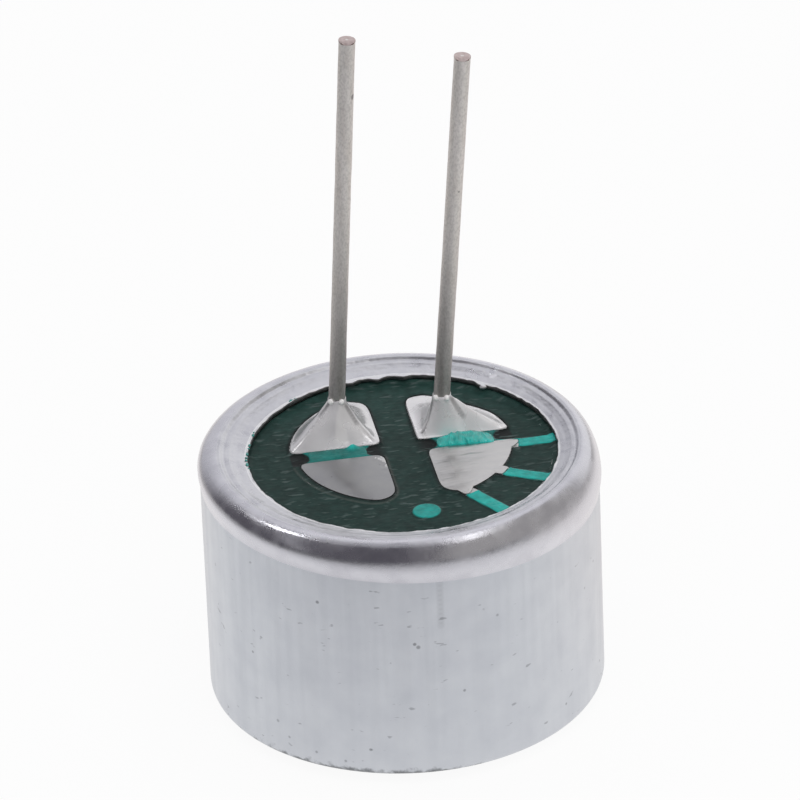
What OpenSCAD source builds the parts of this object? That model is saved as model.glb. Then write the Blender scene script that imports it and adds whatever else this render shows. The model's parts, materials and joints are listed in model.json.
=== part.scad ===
// Electret microphone capsule with two wire leads, standing on its felt front.
// Sizes are in millimetres. +Z runs along the case's axis towards the leads, X along the lead pitch.

/* [Case] */
// Outside diameter of the straight wall
case_d = 9.74; // [9.2:0.02:10.6]
// Height from the front of the metal to the crest of the crimp
case_h = 6.45; // [6:0.05:9]
// Thickness of the drawn sheet
case_t = 0.3; // [0.2:0.01:0.36]
// Outer radius of the corner round the front
front_r = 0.2; // [0.1:0.01:0.3]
// Diameter of each sound hole in the front
sound_hole_d = 0.9; // [0.5:0.05:1.2]
// Number of sound holes
sound_holes = 6; // [3:1:8]
// Diameter of the circle of sound holes
sound_circle_d = 4.4; // [4:0.1:5.6]

/* [Crimp] */
// Radius of the rolled shoulder
shoulder_r = 0.48; // [0.4:0.01:0.52]
// How far the rolled shoulder stands proud of the wall
shoulder_proud = 0.05; // [0.01:0.01:0.06]
// Inside diameter of the turned-in lip
lip_d = 7.52; // [7.3:0.02:8]
// Drop from the crest to the upper edge of the lip
lip_drop = 0.2; // [0.1:0.01:0.25]
// Thickness of the lip
lip_t = 0.17; // [0.12:0.01:0.22]
// Height of the bevel under the edge of the lip
lip_bevel_h = 0.09; // [0.02:0.01:0.1]
// Width of the bevel under the edge of the lip
lip_bevel_w = 0.12; // [0.05:0.01:0.2]

/* [Dust felt] */
// Diameter of the felt on the front
felt_d = 8.6; // [7:0.1:9]
// Thickness of the felt
felt_t = 0.25; // [0.15:0.05:0.5]

/* [Diaphragm and back plate] */
// Radial gap between the stacked pieces and the case
stack_gap = 0.06; // [0.02:0.01:0.1]
// Radial width of the diaphragm ring
ring_w = 0.8; // [0.6:0.05:1.1]
// Thickness of the diaphragm ring
ring_t = 0.5; // [0.3:0.05:0.8]
// Thickness of the diaphragm film
film_t = 0.02; // [0.02:0.005:0.04]
// Thickness of the insulating spacer
spacer_t = 0.05; // [0.03:0.01:0.1]
// Thickness of the charged foil
foil_t = 0.025; // [0.02:0.005:0.05]
// Thickness of the back plate
plate_t = 0.4; // [0.2:0.05:0.6]
// How far the back plate laps over the diaphragm ring
plate_lap = 0.35; // [0.2:0.05:0.4]
// Diameter of each hole in the back plate
plate_hole_d = 0.7; // [0.4:0.05:0.9]
// Number of holes in the back plate
plate_holes = 6; // [3:1:8]
// Diameter of the circle of holes in the back plate
plate_circle_d = 4.6; // [4:0.1:5]

/* [Holder and gate ring] */
// Radial gap round the pieces that the holder locates
holder_gap = 0.03; // [0.01:0.01:0.05]
// How far the gate ring stands in from the rim of the back plate
gate_inset = 0.5; // [0.3:0.05:0.7]
// Wall of the gate ring
gate_wall = 0.25; // [0.15:0.05:0.4]

/* [Circuit board] */
// Thickness of the laminate
board_t = 0.8; // [0.6:0.05:1]
// Radial gap between the board and the case
board_gap = 0.05; // [0.02:0.01:0.1]
// Thickness of the copper and its lacquer
copper_t = 0.035; // [0.02:0.005:0.06]
// Turn of the printed pattern from the line of the leads, in degrees
pattern_turn = 9; // [-20:0.5:20]
// Shift of the printed pattern across its middle line
pattern_x = 0.15; // [-0.1:0.01:0.25]
// Shift of the printed pattern along its middle line
pattern_y = 0.5; // [0.3:0.02:0.6]
// Diameter of the round field that the two lands share
land_d = 5.5; // [5.2:0.02:5.8]
// Width of the bare strip between the lands
strip_w = 0.88; // [0.7:0.02:1.1]
// Radius of the lands' corners at the strip
land_corner_r = 0.56; // [0.3:0.02:0.7]
// Width of the lacquer bar that parts each land into two pads
bar_w = 0.54; // [0.4:0.02:0.7]
// Width of the copper neck under the bar
neck_w = 1.4; // [1:0.05:1.6]
// Width of the bare slots beside each neck
slot_w = 0.6; // [0.4:0.02:0.8]
// Distance from the strip's middle to the inner end of the neck
neck_start = 0.88; // [0.8:0.02:1]
// Width of the tracks that earth the case
track_w = 0.37; // [0.25:0.01:0.5]
// Number of earth tracks
tracks = 3; // [1:1:4]
// Angle of the first earth track from the pattern's X axis, in degrees
track_start = 1; // [-5:1:10]
// Angle between neighbouring earth tracks, in degrees
track_step = 29.5; // [24:0.5:32]
// Inside diameter of the earth ring under the crimp
earth_ring_d = 7.48; // [7.2:0.02:7.9]
// Diameter of the index dot
dot_d = 0.68; // [0.4:0.02:0.9]
// Distance from the board's middle to the index dot
dot_out = 2.62; // [2.5:0.02:2.9]
// How far the index dot is printed off the pattern's middle line
dot_shift = 0.06; // [-0.1:0.01:0.1]

/* [Leads and solder] */
// Diameter of the lead wire
lead_d = 0.41; // [0.3:0.01:0.55]
// Thickness of the leads' tin coat
coat_t = 0.012; // [0.005:0.001:0.02]
// Distance between the feet of the leads
lead_pitch = 2.54; // [2.3:0.02:2.8]
// Distance from the case's axis to the middle of the row of feet
lead_row = 1.33; // [1.25:0.01:1.6]
// How far the row of feet is soldered off the pattern's middle line
lead_shift = -0.04; // [-0.1:0.01:0.1]
// Height of the output lead above its land
output_lead_h = 10.7; // [5:0.05:15]
// Height of the earth lead above its land
earth_lead_h = 10.15; // [5:0.05:15]
// Sideways lean of the output lead, in degrees
output_lean = 3.65; // [-6:0.05:6]
// Sideways lean of the earth lead, in degrees
earth_lean = 4.95; // [-6:0.05:6]
// Backward lean of both leads, in degrees
back_lean = 1.3; // [-5:0.05:5]
// Height to which the solder climbs the leads
solder_h = 0.93; // [0.6:0.01:1.3]
// Thickness of the solder at the edge of a pad
solder_edge = 0.03; // [0.015:0.005:0.06]
// Hollowness of the solder's slope towards the bar, 1 for a straight cone
front_hollow = 1.3; // [1.1:0.1:3]
// Hollowness of the solder's slope towards the rim
back_hollow = 2.4; // [1.2:0.1:3]
// Clearance between a lead and the solder round it
solder_gap = 0.004; // [0.002:0.001:0.01]
// Height of the domed tinning on the bare pads
tinning_h = 0.09; // [0.06:0.01:0.15]
// Width of the land's edge that lacquer covers round the soldered pads
solder_lap = 0.02; // [0.01:0.01:0.08]
// Width of the land's edge that lacquer covers round the tinned pads
tinned_lap = 0.11; // [0.02:0.01:0.16]
// How far the openings for the tinned pads are printed off the copper
opening_shift = 0.05; // [-0.06:0.01:0.06]

/* [Transistor] */
// Length of the moulded body
fet_l = 2.9; // [2.4:0.1:3.2]
// Width of the moulded body
fet_w = 1.3; // [1:0.05:1.6]
// Height of the moulded body
fet_h = 0.95; // [0.7:0.05:1.2]
// Draft of the body's sides
fet_draft = 0.08; // [0.02:0.01:0.15]
// Gap between the body and the board's copper
fet_standoff = 0.06; // [0.02:0.01:0.12]
// Thickness of the legs
leg_t = 0.12; // [0.08:0.01:0.16]
// Width of the legs
leg_w = 0.42; // [0.3:0.02:0.5]
// Reach of a leg's tip beyond the body
leg_reach = 0.55; // [0.45:0.05:0.8]
// Distance between the two legs on one side
leg_pitch = 1.9; // [1.5:0.05:2.2]
// Margin of a copper pad round a leg's foot
pad_margin = 0.12; // [0.05:0.01:0.2]
// Diameter of the plated plugs through the board
plug_d = 0.4; // [0.3:0.02:0.5]

/* [Hidden] */
$fn = 96;

case_r = case_d / 2;
cavity_r = case_r - case_t;
stack_r = cavity_r - stack_gap;
lip_r = lip_d / 2;
shoulder_x = case_r + shoulder_proud - shoulder_r;

// Heights, from the felt's face up the case
front_z = felt_t;
floor_z = front_z + case_t;
crest_z = front_z + case_h;
seat_z = crest_z - lip_drop - lip_t;
board_top = seat_z - copper_t;
board_z = board_top - board_t;

// Heights, from the floor of the case up the stack
film_z = floor_z + ring_t;
spacer_z = film_z + film_t;
foil_z = spacer_z + spacer_t;
plate_z = foil_z + foil_t;
plate_top = plate_z + plate_t;

ring_bore_r = stack_r - ring_w;
plate_r = ring_bore_r + plate_lap;
gate_r = plate_r - gate_inset;
gate_bore_r = gate_r - gate_wall;
board_r = cavity_r - board_gap;

land_r = land_d / 2;
slot_r = slot_w / 2;
track_root = land_r - pattern_y - track_w;
track_l = earth_ring_d / 2 + track_w / 2 - track_root;

// Middle of the round at a land's corner beside the strip, and the way from it straight out of the corner
corner_x = strip_w / 2 + land_corner_r;
corner_middle = [corner_x, sqrt(pow(land_r - land_corner_r, 2) - corner_x * corner_x)];
corner_out = unit(unit(corner_middle) - [1, 0]);

// A drill and a half-plane that reach past everything they cut
cut_depth = 4;
cut_span = 20;
cut_margin = 0.1;

// Solder facets: points round a fillet, rings up its slope, and how sharply its outline's corners turn
solder_sides = 48;
solder_rings = 9;
tinning_rings = 4;
solder_corner = 11;
solder_top_w = 0.015;

metal_grey = "#c3c6cc";
lacquer_teal = "#1c9c86";
tin_grey = "#b9b9b6";

// Ring of plain rectangular section
module tube(outer_r, inner_r, z, h) {
  translate([0, 0, z])
    difference() {
      cylinder(r = outer_r, h = h);
      translate([0, 0, -cut_margin]) cylinder(r = inner_r, h = h + 2 * cut_margin);
    }
}

// Circle of drilled holes through a plate at a height
module hole_circle(count, circle_d, hole_d, z) {
  for (i = [0 : count - 1])
    rotate(i * 360 / count)
      translate([circle_d / 2, 0, z - cut_depth / 2]) cylinder(d = hole_d, h = cut_depth);
}

// Half section of the drawn cup with its rolled and turned-in edge
module case_section() {
  difference() {
    union() {
      translate([0, front_z + front_r]) square([case_r, crest_z - shoulder_r - front_z - front_r]);
      translate([0, front_z]) square([case_r - front_r, front_r]);
      translate([case_r - front_r, front_z + front_r]) circle(front_r);
      translate([shoulder_x, crest_z - shoulder_r]) rolled_shoulder();
      flange_section();
    }
    translate([-cut_margin, floor_z]) square([cavity_r + cut_margin, seat_z - floor_z]);
    translate([-cut_margin, front_z - cut_margin]) square([cut_margin, case_h + 2 * cut_margin]);
  }
}

// Outer half of the round that the edge is rolled to
module rolled_shoulder() {
  intersection() {
    circle(shoulder_r);
    translate([0, -shoulder_r]) square([shoulder_r, 2 * shoulder_r]);
  }
}

// Turned-in flange, from the crest down to a lip that is bevelled underneath
module flange_section() {
  polygon([
    [shoulder_x, seat_z],
    [shoulder_x, crest_z],
    [lip_r, crest_z - lip_drop],
    [lip_r, seat_z + lip_bevel_h],
    [lip_r + lip_bevel_w, seat_z]
  ]);
}

module case_can() {
  color(metal_grey)
    difference() {
      rotate_extrude() case_section();
      hole_circle(sound_holes, sound_circle_d, sound_hole_d, front_z);
    }
}

module dust_felt() {
  color("#1d1d1f") cylinder(d = felt_d, h = felt_t);
}

module diaphragm_ring() {
  color("#c9a85c") tube(stack_r, ring_bore_r, floor_z, ring_t);
}

module diaphragm_film() {
  color("#d9d9de") translate([0, 0, film_z]) cylinder(r = stack_r, h = film_t);
}

module spacer_ring() {
  color("#d8b26a") tube(stack_r, ring_bore_r, spacer_z, spacer_t);
}

// Disc with the back plate's outline and holes
module plate_disc(z, h) {
  difference() {
    translate([0, 0, z]) cylinder(r = plate_r, h = h);
    hole_circle(plate_holes, plate_circle_d, plate_hole_d, z);
  }
}

module electret_foil() {
  color("#e6e6df") plate_disc(foil_z, foil_t);
}

module back_plate() {
  color("#c8a55a") plate_disc(plate_z, plate_t);
}

// Moulded sleeve, recessed for the plate at its front and bored for the gate ring
module plate_holder() {
  color("#e8e4da")
    difference() {
      tube(stack_r, gate_r + holder_gap, foil_z, board_z - foil_z);
      translate([0, 0, foil_z - cut_margin])
        cylinder(r = plate_r + holder_gap, h = foil_t + plate_t + cut_margin);
    }
}

module gate_ring() {
  color("#caa75e") tube(gate_r, gate_bore_r, plate_top, board_z - copper_t - plate_top);
}

module circuit_board() {
  color("#17332c")
    difference() {
      translate([0, 0, board_z]) cylinder(r = board_r, h = board_t);
      translate([0, 0, -cut_margin]) plug_pair(board_z, board_t + 2 * cut_margin);
    }
}

// Frame of the transistor: its own +Z points from the board's inner face down into the case
module under_board() {
  translate([0, 0, board_z]) rotate(pattern_turn) mirror([0, 0, 1]) children();
}

leg_tip_y = fet_w / 2 + leg_reach;
leg_bend_y = fet_w / 2 + leg_reach / 2 + leg_t / 2;
leg_mid_z = copper_t + fet_standoff + fet_h / 2;
foot_y = (leg_bend_y + leg_tip_y) / 2;
foot_l = leg_tip_y - leg_bend_y + leg_t;

// The gate leg stands alone on one side and the other two share the opposite side
module at_legs(gate) {
  if (gate)
    children();
  else
    for (side = [-1, 1])
      translate([side * leg_pitch / 2, 0]) mirror([0, 1]) children();
}

module pad_outline() {
  translate([-leg_w / 2 - pad_margin, foot_y - foot_l / 2 - pad_margin])
    square([leg_w + 2 * pad_margin, foot_l + 2 * pad_margin]);
}

// Contact ring for the gate ring with its link to the gate's pad, and the other two pads
module inner_copper() {
  color("#c98d5a")
    under_board()
      linear_extrude(copper_t) {
        difference() {
          circle(gate_r);
          circle(gate_bore_r);
        }
        at_legs(true) pad_outline();
        translate([-leg_w / 2, foot_y]) square([leg_w, gate_bore_r + gate_wall / 2 - foot_y]);
        at_legs(false) pad_outline();
      }
}

// Plated plugs that carry the two outer pads through the board
module plug_pair(z, h) {
  rotate(pattern_turn)
    for (side = [-1, 1])
      translate([side * leg_pitch / 2, -foot_y, z]) cylinder(d = plug_d, h = h);
}

module board_plugs() {
  color("#c98d5a") plug_pair(board_z, board_t);
}

// Section of the moulded body with a straight band at mid height where the legs come out
module fet_section(width) {
  half = width / 2;
  polygon([
    [-half + fet_draft, 0], [half - fet_draft, 0],
    [half, (fet_h - leg_t) / 2], [half, (fet_h + leg_t) / 2],
    [half - fet_draft, fet_h], [-half + fet_draft, fet_h],
    [-half, (fet_h + leg_t) / 2], [-half, (fet_h - leg_t) / 2]
  ]);
}

// Body drafted on all four sides
module transistor_body() {
  color("#26262a")
    under_board()
      translate([0, 0, copper_t + fet_standoff])
        intersection() {
          rotate([90, 0, 0]) translate([0, 0, -fet_w / 2]) linear_extrude(fet_w) fet_section(fet_l);
          rotate([90, 0, 90]) translate([0, 0, -fet_l / 2]) linear_extrude(fet_l) fet_section(fet_w);
        }
}

// Side view of a bent leg, from the body's band out and down to its foot on the copper
module leg_section() {
  polygon([
    [fet_w / 2, leg_mid_z + leg_t / 2],
    [leg_bend_y, leg_mid_z + leg_t / 2],
    [leg_bend_y, copper_t + leg_t],
    [leg_tip_y, copper_t + leg_t],
    [leg_tip_y, copper_t],
    [leg_bend_y - leg_t, copper_t],
    [leg_bend_y - leg_t, leg_mid_z - leg_t / 2],
    [fet_w / 2, leg_mid_z - leg_t / 2]
  ]);
}

module transistor_legs() {
  color(tin_grey)
    under_board()
      for (gate = [true, false])
        at_legs(gate)
          rotate([90, 0, 90]) translate([0, 0, -leg_w / 2]) linear_extrude(leg_w) leg_section();
}

// Frame of the printed pattern on the board's outer face
module on_pattern() {
  translate([0, 0, board_top]) rotate(pattern_turn) children();
}

// What a round of the corner radius leaves off where the strip meets the round field, at one end
module land_corner_cut() {
  y = corner_middle.y;
  difference() {
    polygon([[0, y], corner_middle, corner_middle + land_r * unit(corner_middle), [0, y + land_r]]);
    translate(corner_middle) circle(land_corner_r);
  }
}

// Bare slot with round ends along the bar
module slot(from_x, to_x) {
  translate([from_x, -slot_r]) square([to_x - from_x, slot_w]);
  translate([from_x, 0]) circle(slot_r);
  translate([to_x, 0]) circle(slot_r);
}

// One half of the round field, necked under the bar, about the field's middle
module land_half() {
  difference() {
    intersection() {
      circle(land_r);
      translate([strip_w / 2, -cut_span / 2]) square(cut_span);
    }
    land_corner_cut();
    mirror([0, 1]) land_corner_cut();
    slot(0, neck_start - slot_r);
    slot(neck_start + neck_w + slot_r, land_r);
  }
}

module output_land() {
  color(lacquer_teal)
    on_pattern()
      linear_extrude(copper_t)
        translate([pattern_x, pattern_y]) mirror([1, 0]) land_half();
}

// Earth land with the tracks that carry it to the ring under the crimp
module ground_land() {
  color(lacquer_teal)
    on_pattern()
      linear_extrude(copper_t) {
        translate([pattern_x, pattern_y]) land_half();
        for (i = [0 : tracks - 1])
          translate([pattern_x, 0])
            rotate(track_start - i * track_step)
              translate([track_root, -track_w / 2]) square([track_l, track_w]);
        difference() {
          circle(board_r);
          circle(d = earth_ring_d);
        }
      }
}

module index_dot() {
  color(lacquer_teal)
    on_pattern() translate([pattern_x + dot_shift, -dot_out, 0]) cylinder(d = dot_d, h = copper_t);
}

function unit(p) = p / norm(p);

// How near an edge lies in a direction, as one over the distance: a circle round the origin, or a straight edge
function arc_nearness(p, d, r) =
  let (along = p * d)
  1 / (sqrt(along * along + r * r - p * p) - along);
function line_nearness(gap, d) = max(0, d) / gap;

// Distance from a point in a pad to the pad's edge, with the corners rounded off. The edge lies a lap inside
// the land, which is taken in the quarter with both signs positive.
function pad_reach(point, quarter, lap, a) =
  let (
    p = [quarter.x * point.x, quarter.y * point.y],
    d = [quarter.x * cos(a), quarter.y * sin(a)],
    near = [
      arc_nearness(p, d, land_r - lap),
      line_nearness(p.x - strip_w / 2 - lap, -d.x),
      line_nearness(p.y - bar_w / 2, -d.y),
      line_nearness((corner_middle - p) * corner_out + land_corner_r - lap, d * corner_out)
    ]
  )
  pow(sum_of([for (n = near) pow(n, solder_corner)]), -1 / solder_corner);

function sum_of(list) = list * [for (item = list) 1];

// Numbers of the two triangles' corners for each gap between neighbouring rings of points
function ring_faces(rings, sides, closed) = [
  for (k = [0 : rings - (closed ? 1 : 2)])
    for (i = [0 : sides - 1])
      let (
        j = (i + 1) % sides,
        low = k * sides,
        high = ((k + 1) % rings) * sides
      )
      each [[low + i, high + i, low + j], [low + j, high + i, high + j]]
];

function flat(lists) = [for (list = lists) each list];
function angles(sides) = [for (i = [0 : sides - 1]) i * 360 / sides];

// Slope of a lead, as sideways and backward travel for each millimetre of height
function lead_slope(lean) = [tan(lean), tan(back_lean)];

// Foot of a lead in the case's frame, and the same point in the pattern's frame about the round field
function lead_foot(side) =
  lead_row * [-sin(pattern_turn), cos(pattern_turn)] + [lead_shift + side * lead_pitch / 2, 0];
function to_pattern(p) = [
  p.x * cos(pattern_turn) + p.y * sin(pattern_turn) - pattern_x,
  p.y * cos(pattern_turn) - p.x * sin(pattern_turn) - pattern_y
];

// One ring of a fillet: each point a share of the way from the lead to the pad's edge, at its own height
function fillet_ring(foot, slope, reach, share, inner_r, heights) = [
  for (i = [0 : solder_sides - 1])
    let (
      a = angles(solder_sides)[i],
      r = inner_r + (reach[i] - inner_r) * share,
      z = heights[i]
    )
    [foot.x + slope.x * z + r * cos(a), foot.y + slope.y * z + r * sin(a), z]
];
function level(z) = [for (i = [1 : solder_sides]) z];

// Heights round one ring of a fillet's slope, which is straightest towards the bar and hollow towards the rim
function slope_heights(share) = [
  for (a = angles(solder_sides))
    let (hollow = front_hollow + (back_hollow - front_hollow) * (1 + sin(a - pattern_turn)) / 2)
    solder_edge + (solder_h - solder_edge) * pow(1 - share, hollow)
];

// Hollow-sided solder fillet from a pad's outline up to the lead, bored for the leaning lead
module solder_fillet(side, lean) {
  foot = lead_foot(side);
  slope = lead_slope(lean);
  reach = [for (a = angles(solder_sides)) pad_reach(to_pattern(foot), [side, 1], solder_lap, a - pattern_turn)];
  bore_r = (lead_d / 2 + solder_gap) / cos(180 / solder_sides);
  top_r = bore_r + solder_top_w;
  shares = [for (k = [0 : solder_rings]) pow(1 - k / solder_rings, 1.5)];
  rings = concat(
    [fillet_ring(foot, slope, reach, 1, top_r, level(0))],
    [for (share = shares) fillet_ring(foot, slope, reach, share, top_r, slope_heights(share))],
    [for (z = [solder_h, 0]) fillet_ring(foot, slope, reach, 0, bore_r, level(z))]
  );
  color(tin_grey)
    translate([0, 0, seat_z])
      polyhedron(flat(rings), ring_faces(len(rings), solder_sides, true), convexity = 6);
}

module output_solder() solder_fillet(-1, output_lean);

module ground_solder() solder_fillet(1, earth_lean);

// Low dome of tinning over the bare pad in front of the bar
module pad_tinning(side) {
  middle = [side * (strip_w / 2 + land_r) / 2, -(bar_w / 2 + land_r) / 2.4];
  reach = [for (a = angles(solder_sides)) pad_reach(middle, [side, -1], tinned_lap, a)];
  rings = concat(
    [fillet_ring(middle, [0, 0], reach, 1, 0, level(0))],
    [for (k = [0 : tinning_rings - 1])
      let (share = 1 - k / tinning_rings)
      fillet_ring(middle, [0, 0], reach, share, 0,
                  level(solder_edge + (tinning_h - solder_edge) * (1 - share * share)))]
  );
  points = concat(flat(rings), [[middle.x, middle.y, tinning_h]]);
  last = (len(rings) - 1) * solder_sides;
  cap = [for (i = [0 : solder_sides - 1]) [last + i, len(points) - 1, last + (i + 1) % solder_sides]];
  base = [[for (i = [0 : solder_sides - 1]) i]];
  color(tin_grey)
    translate([0, 0, copper_t])
      on_pattern()
        translate([pattern_x + opening_shift, pattern_y])
          polyhedron(points, concat(ring_faces(len(rings), solder_sides, false), cap, base), convexity = 4);
}

module output_tinning() pad_tinning(-1);

module ground_tinning() pad_tinning(1);

// Straight round wire that stands on its land and leans, with its tin coat melted off towards the foot
module lead(side, lean, height) {
  foot = lead_foot(side);
  slope = lead_slope(lean);
  run = norm([slope.x, slope.y, 1]);
  tilt = acos(1 / run);
  foot_clear = lead_d / 2 * sin(tilt);
  free_start = solder_h * run + foot_clear;
  color("#a5a39f")
    translate([foot.x, foot.y, seat_z])
      rotate([0, tilt, atan2(slope.y, slope.x)]) {
        translate([0, 0, foot_clear])
          cylinder(d1 = lead_d - 2 * coat_t, d2 = lead_d, h = free_start - foot_clear);
        translate([0, 0, free_start]) cylinder(d = lead_d, h = height * run - free_start);
      }
}

module output_lead() lead(-1, output_lean, output_lead_h);

module ground_lead() lead(1, earth_lean, earth_lead_h);

case_can();
dust_felt();
diaphragm_ring();
diaphragm_film();
spacer_ring();
electret_foil();
back_plate();
plate_holder();
gate_ring();
circuit_board();
inner_copper();
board_plugs();
transistor_body();
transistor_legs();
output_land();
ground_land();
index_dot();
output_tinning();
ground_tinning();
output_solder();
ground_solder();
output_lead();
ground_lead();
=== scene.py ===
import json
import math

import bmesh
import bpy
import numpy as np
from mathutils import Matrix, Vector, noise

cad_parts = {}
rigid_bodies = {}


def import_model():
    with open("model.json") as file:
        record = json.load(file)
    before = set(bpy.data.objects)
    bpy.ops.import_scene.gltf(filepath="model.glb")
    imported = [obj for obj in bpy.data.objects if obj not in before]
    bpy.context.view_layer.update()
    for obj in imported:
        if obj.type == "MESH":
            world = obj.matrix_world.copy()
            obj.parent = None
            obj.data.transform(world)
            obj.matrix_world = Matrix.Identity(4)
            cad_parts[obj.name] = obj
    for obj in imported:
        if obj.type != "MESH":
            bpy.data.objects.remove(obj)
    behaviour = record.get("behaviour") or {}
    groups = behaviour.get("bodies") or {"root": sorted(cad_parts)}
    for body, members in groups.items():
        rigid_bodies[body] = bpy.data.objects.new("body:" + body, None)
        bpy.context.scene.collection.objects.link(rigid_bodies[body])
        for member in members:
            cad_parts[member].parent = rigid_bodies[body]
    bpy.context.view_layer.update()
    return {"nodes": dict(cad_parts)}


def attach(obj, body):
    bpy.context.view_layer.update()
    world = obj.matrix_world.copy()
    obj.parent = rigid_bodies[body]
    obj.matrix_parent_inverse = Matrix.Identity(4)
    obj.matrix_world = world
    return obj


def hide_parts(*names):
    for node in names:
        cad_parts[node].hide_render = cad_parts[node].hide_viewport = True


for leftover in list(bpy.data.objects):
    bpy.data.objects.remove(leftover)
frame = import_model()

# Sizes are in millimetres, as in the CAD source, and become metres when a piece is made
MM = 0.001

# Case
CASE_R = 4.87
FRONT_Z = 0.25
FLOOR_Z = 0.55
CREST_Z = 6.70
CAVITY_R = 4.57
FRONT_R = 0.2
SHOULDER_R = 0.48
SHOULDER_X = 4.44
LIP_R = 3.76
LIP_TOP_Z = 6.50
SEAT_Z = 6.33
LIP_BEVEL_H = 0.09
LIP_BEVEL_W = 0.12
LIP_ROUND_H = 0.025
LIP_ROUND_W = 0.03
FINE_WALL_H = 0.42
RIPPLE = 0.003
FINE_RIPPLE = 0.0008
STILL_WALL_H = 4.5
SOUND_HOLES = 6
SOUND_HOLE_R = 0.45
SOUND_HOLE_SIDES = 48
SOUND_CIRCLE_R = 2.2
FRONT_DISC_R = 3.6
CASE_SIDES = 540
FLANGE_ROWS = 34

# The crimp as it was rolled: its opening lies off the axis, and its widest line drops towards +X
OPENING_X = 0.10
WIDEST_Z = 6.05
WIDEST_DROP = 0.05
BEAD_H = 0.34

# Lumps of the torn lip: size, angle round the axis in degrees, and width. A burr stands at the first
LIP_LUMPS = ((0.08, 56.6, 2.2), (0.10, 87.4, 2.4), (0.12, 97.1, 2.8), (0.10, 107.5, 3.0))
BURR_TURN = math.radians(LIP_LUMPS[0][1])
BURR_SIZE = (0.10, 0.07, 0.06)

# Rings that rolling left in the flange: height, place from the shoulder at 0 to the lip at 1, and width
FLANGE_RINGS = ((0.016, 0.10, 0.05), (-0.020, 0.22, 0.06), (0.010, 0.40, 0.05), (-0.008, 0.62, 0.08))

# Dark marks on the wall: angle round the axis in degrees, height, radius and strength
WALL_MARKS = (
    (-87.7, 3.99, 0.06, 0.5), (-86.7, 3.90, 0.07, 0.45), (-115.5, 5.0, 0.06, 0.5), (-101.5, 1.0, 0.05, 0.45),
    (-131.0, 1.25, 0.06, 0.3), (-127.0, 0.9, 0.05, 0.3), (-118.0, 0.7, 0.05, 0.35), (-109.0, 0.6, 0.05, 0.35),
    (-140.0, 2.9, 0.05, 0.4), (-63.0, 4.4, 0.05, 0.3),
)

# A faint line down the wall, as a row of soft marks
WALL_LINE = tuple((-80.0, 4.45 + 0.13 * k, 0.13, 0.08) for k in range(10))

# The dirt and painted shade along the wall's front edge are thickest about here, and thin out to both sides
FOOT_DIRT_AND_SHADE_X = -1.3

# Felt on the front
FELT_R = 4.3
FELT_T = 0.25
FELT_EDGE = 0.06
FELT_SIDES = 240
FELT_TIP_R = 0.1
FELT_MATTING = 0.012
FELT_DIMPLE = 0.008

# Printed pattern on the board
BOARD_TOP = 6.295
COPPER_T = 0.035
COAT_T = 0.014
COAT_RINGS = 127
COAT_SIDES = 720
COAT_TIP_R = 0.03
PATTERN_TURN = math.radians(9)
FIELD = (0.15, 0.5)
LAND_R = 2.75
STRIP_HALF = 0.44
LAND_CORNER_R = 0.56
SOLDER_LAP = 0.02
TINNED_LAP = 0.11
OPENING_SHIFT = 0.05
BAR_HALF = 0.27
BAR_BEAD = (-1.17, 0.2)
BAR_BEAD_R = 0.12
SLOT_R = 0.3
INNER_SLOT_END = 0.58
OUTER_SLOT_START = 2.58
TRACK_HALF = 0.185
TRACK_ANGLES = [math.radians(a) for a in (1.0, -28.5, -58.0)]
TINNED_ROOT_R = 2.85
THREAD_START = (2.13, -0.12)
THREAD_SLOPE = -0.22
THREAD_HALF = 0.035
THREAD_X = 2.5
THREAD_REACH = 0.38
EARTH_RING_R = 3.74
DOT = (0.21, -2.62)
DOT_R = 0.34
CORNER_POWER = 11

# Behind the ground lead the solder stops short of the land's edge
BACK_GAP = 0.26
BACK_GAP_TURN = math.radians(48)

# Leads and solder
LEAD_R = 0.205
LEAD_SIDES = 56
LEAD_RINGS = 150
LEAD_PITCH = 2.54
CUT_BURR = 0.006
CUT_SLOPE = 0.55
CUT_START_Y = -0.07
CUT_REACH = 0.12
CUT_STEPS = (0.08, 0.05, 0.03, 0.015)
CUT_SHARES = (0.99, 0.93, 0.8, 0.6, 0.4, 0.2)
LEAD_ROW = 1.33
LEAD_SHIFT = -0.04
OUTPUT, GROUND = -1, 1
SIDE_NAMES = {OUTPUT: "output", GROUND: "ground"}
LEAD_H = {OUTPUT: 10.7, GROUND: 10.15}
LEAN = {OUTPUT: math.radians(3.65), GROUND: math.radians(4.95)}
BACK_LEAN = math.radians(1.3)
SOLDER_H = 0.93
SOLDER_EDGE = 0.03
SOLDER_COLLAR = 0.07
LEAST_HOLLOW = 1.15
MOST_HOLLOW = {OUTPUT: 1.9, GROUND: 2.8}
HOLLOW_HEADING = {OUTPUT: math.radians(55), GROUND: math.radians(140)}
SOLDER_TOP_R = 0.226
SOLDER_BORE_R = 0.209
SOLDER_BEAD = (0.07, 0.07, 0.08)
PINCH = 0.3
PINCH_REACH = 0.12
FOOT_STEP = 0.003
FOOT_ROUND = 0.015
COLLAR_TAPER = 0.004
COLLAR_ROUND = 0.012
TINNING_H = 0.09
WIRE_SPOT = (-0.75, 1.43, 15.55)

# Where the front lies round a lead, and how far the painted shade under its cut's burr reaches from there,
# as shares of a turn
FRONT_SHARE = 0.75
BURR_SHADE_SHARE = 0.14


# Points and skins

def angles(sides):
    return np.arange(sides) * 2 * math.pi / sides


def smooth_step(value, low, high):
    share = np.clip((value - low) / (high - low), 0, 1)
    return share * share * (3 - 2 * share)


def hump(value, middle, width):
    return np.exp(-((value - middle) / width) ** 2)


def humps(value, bumps):
    """Sum of humps, each given by its height, middle and width."""
    return sum(height * hump(value, middle, width) for height, middle, width in bumps)


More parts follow.
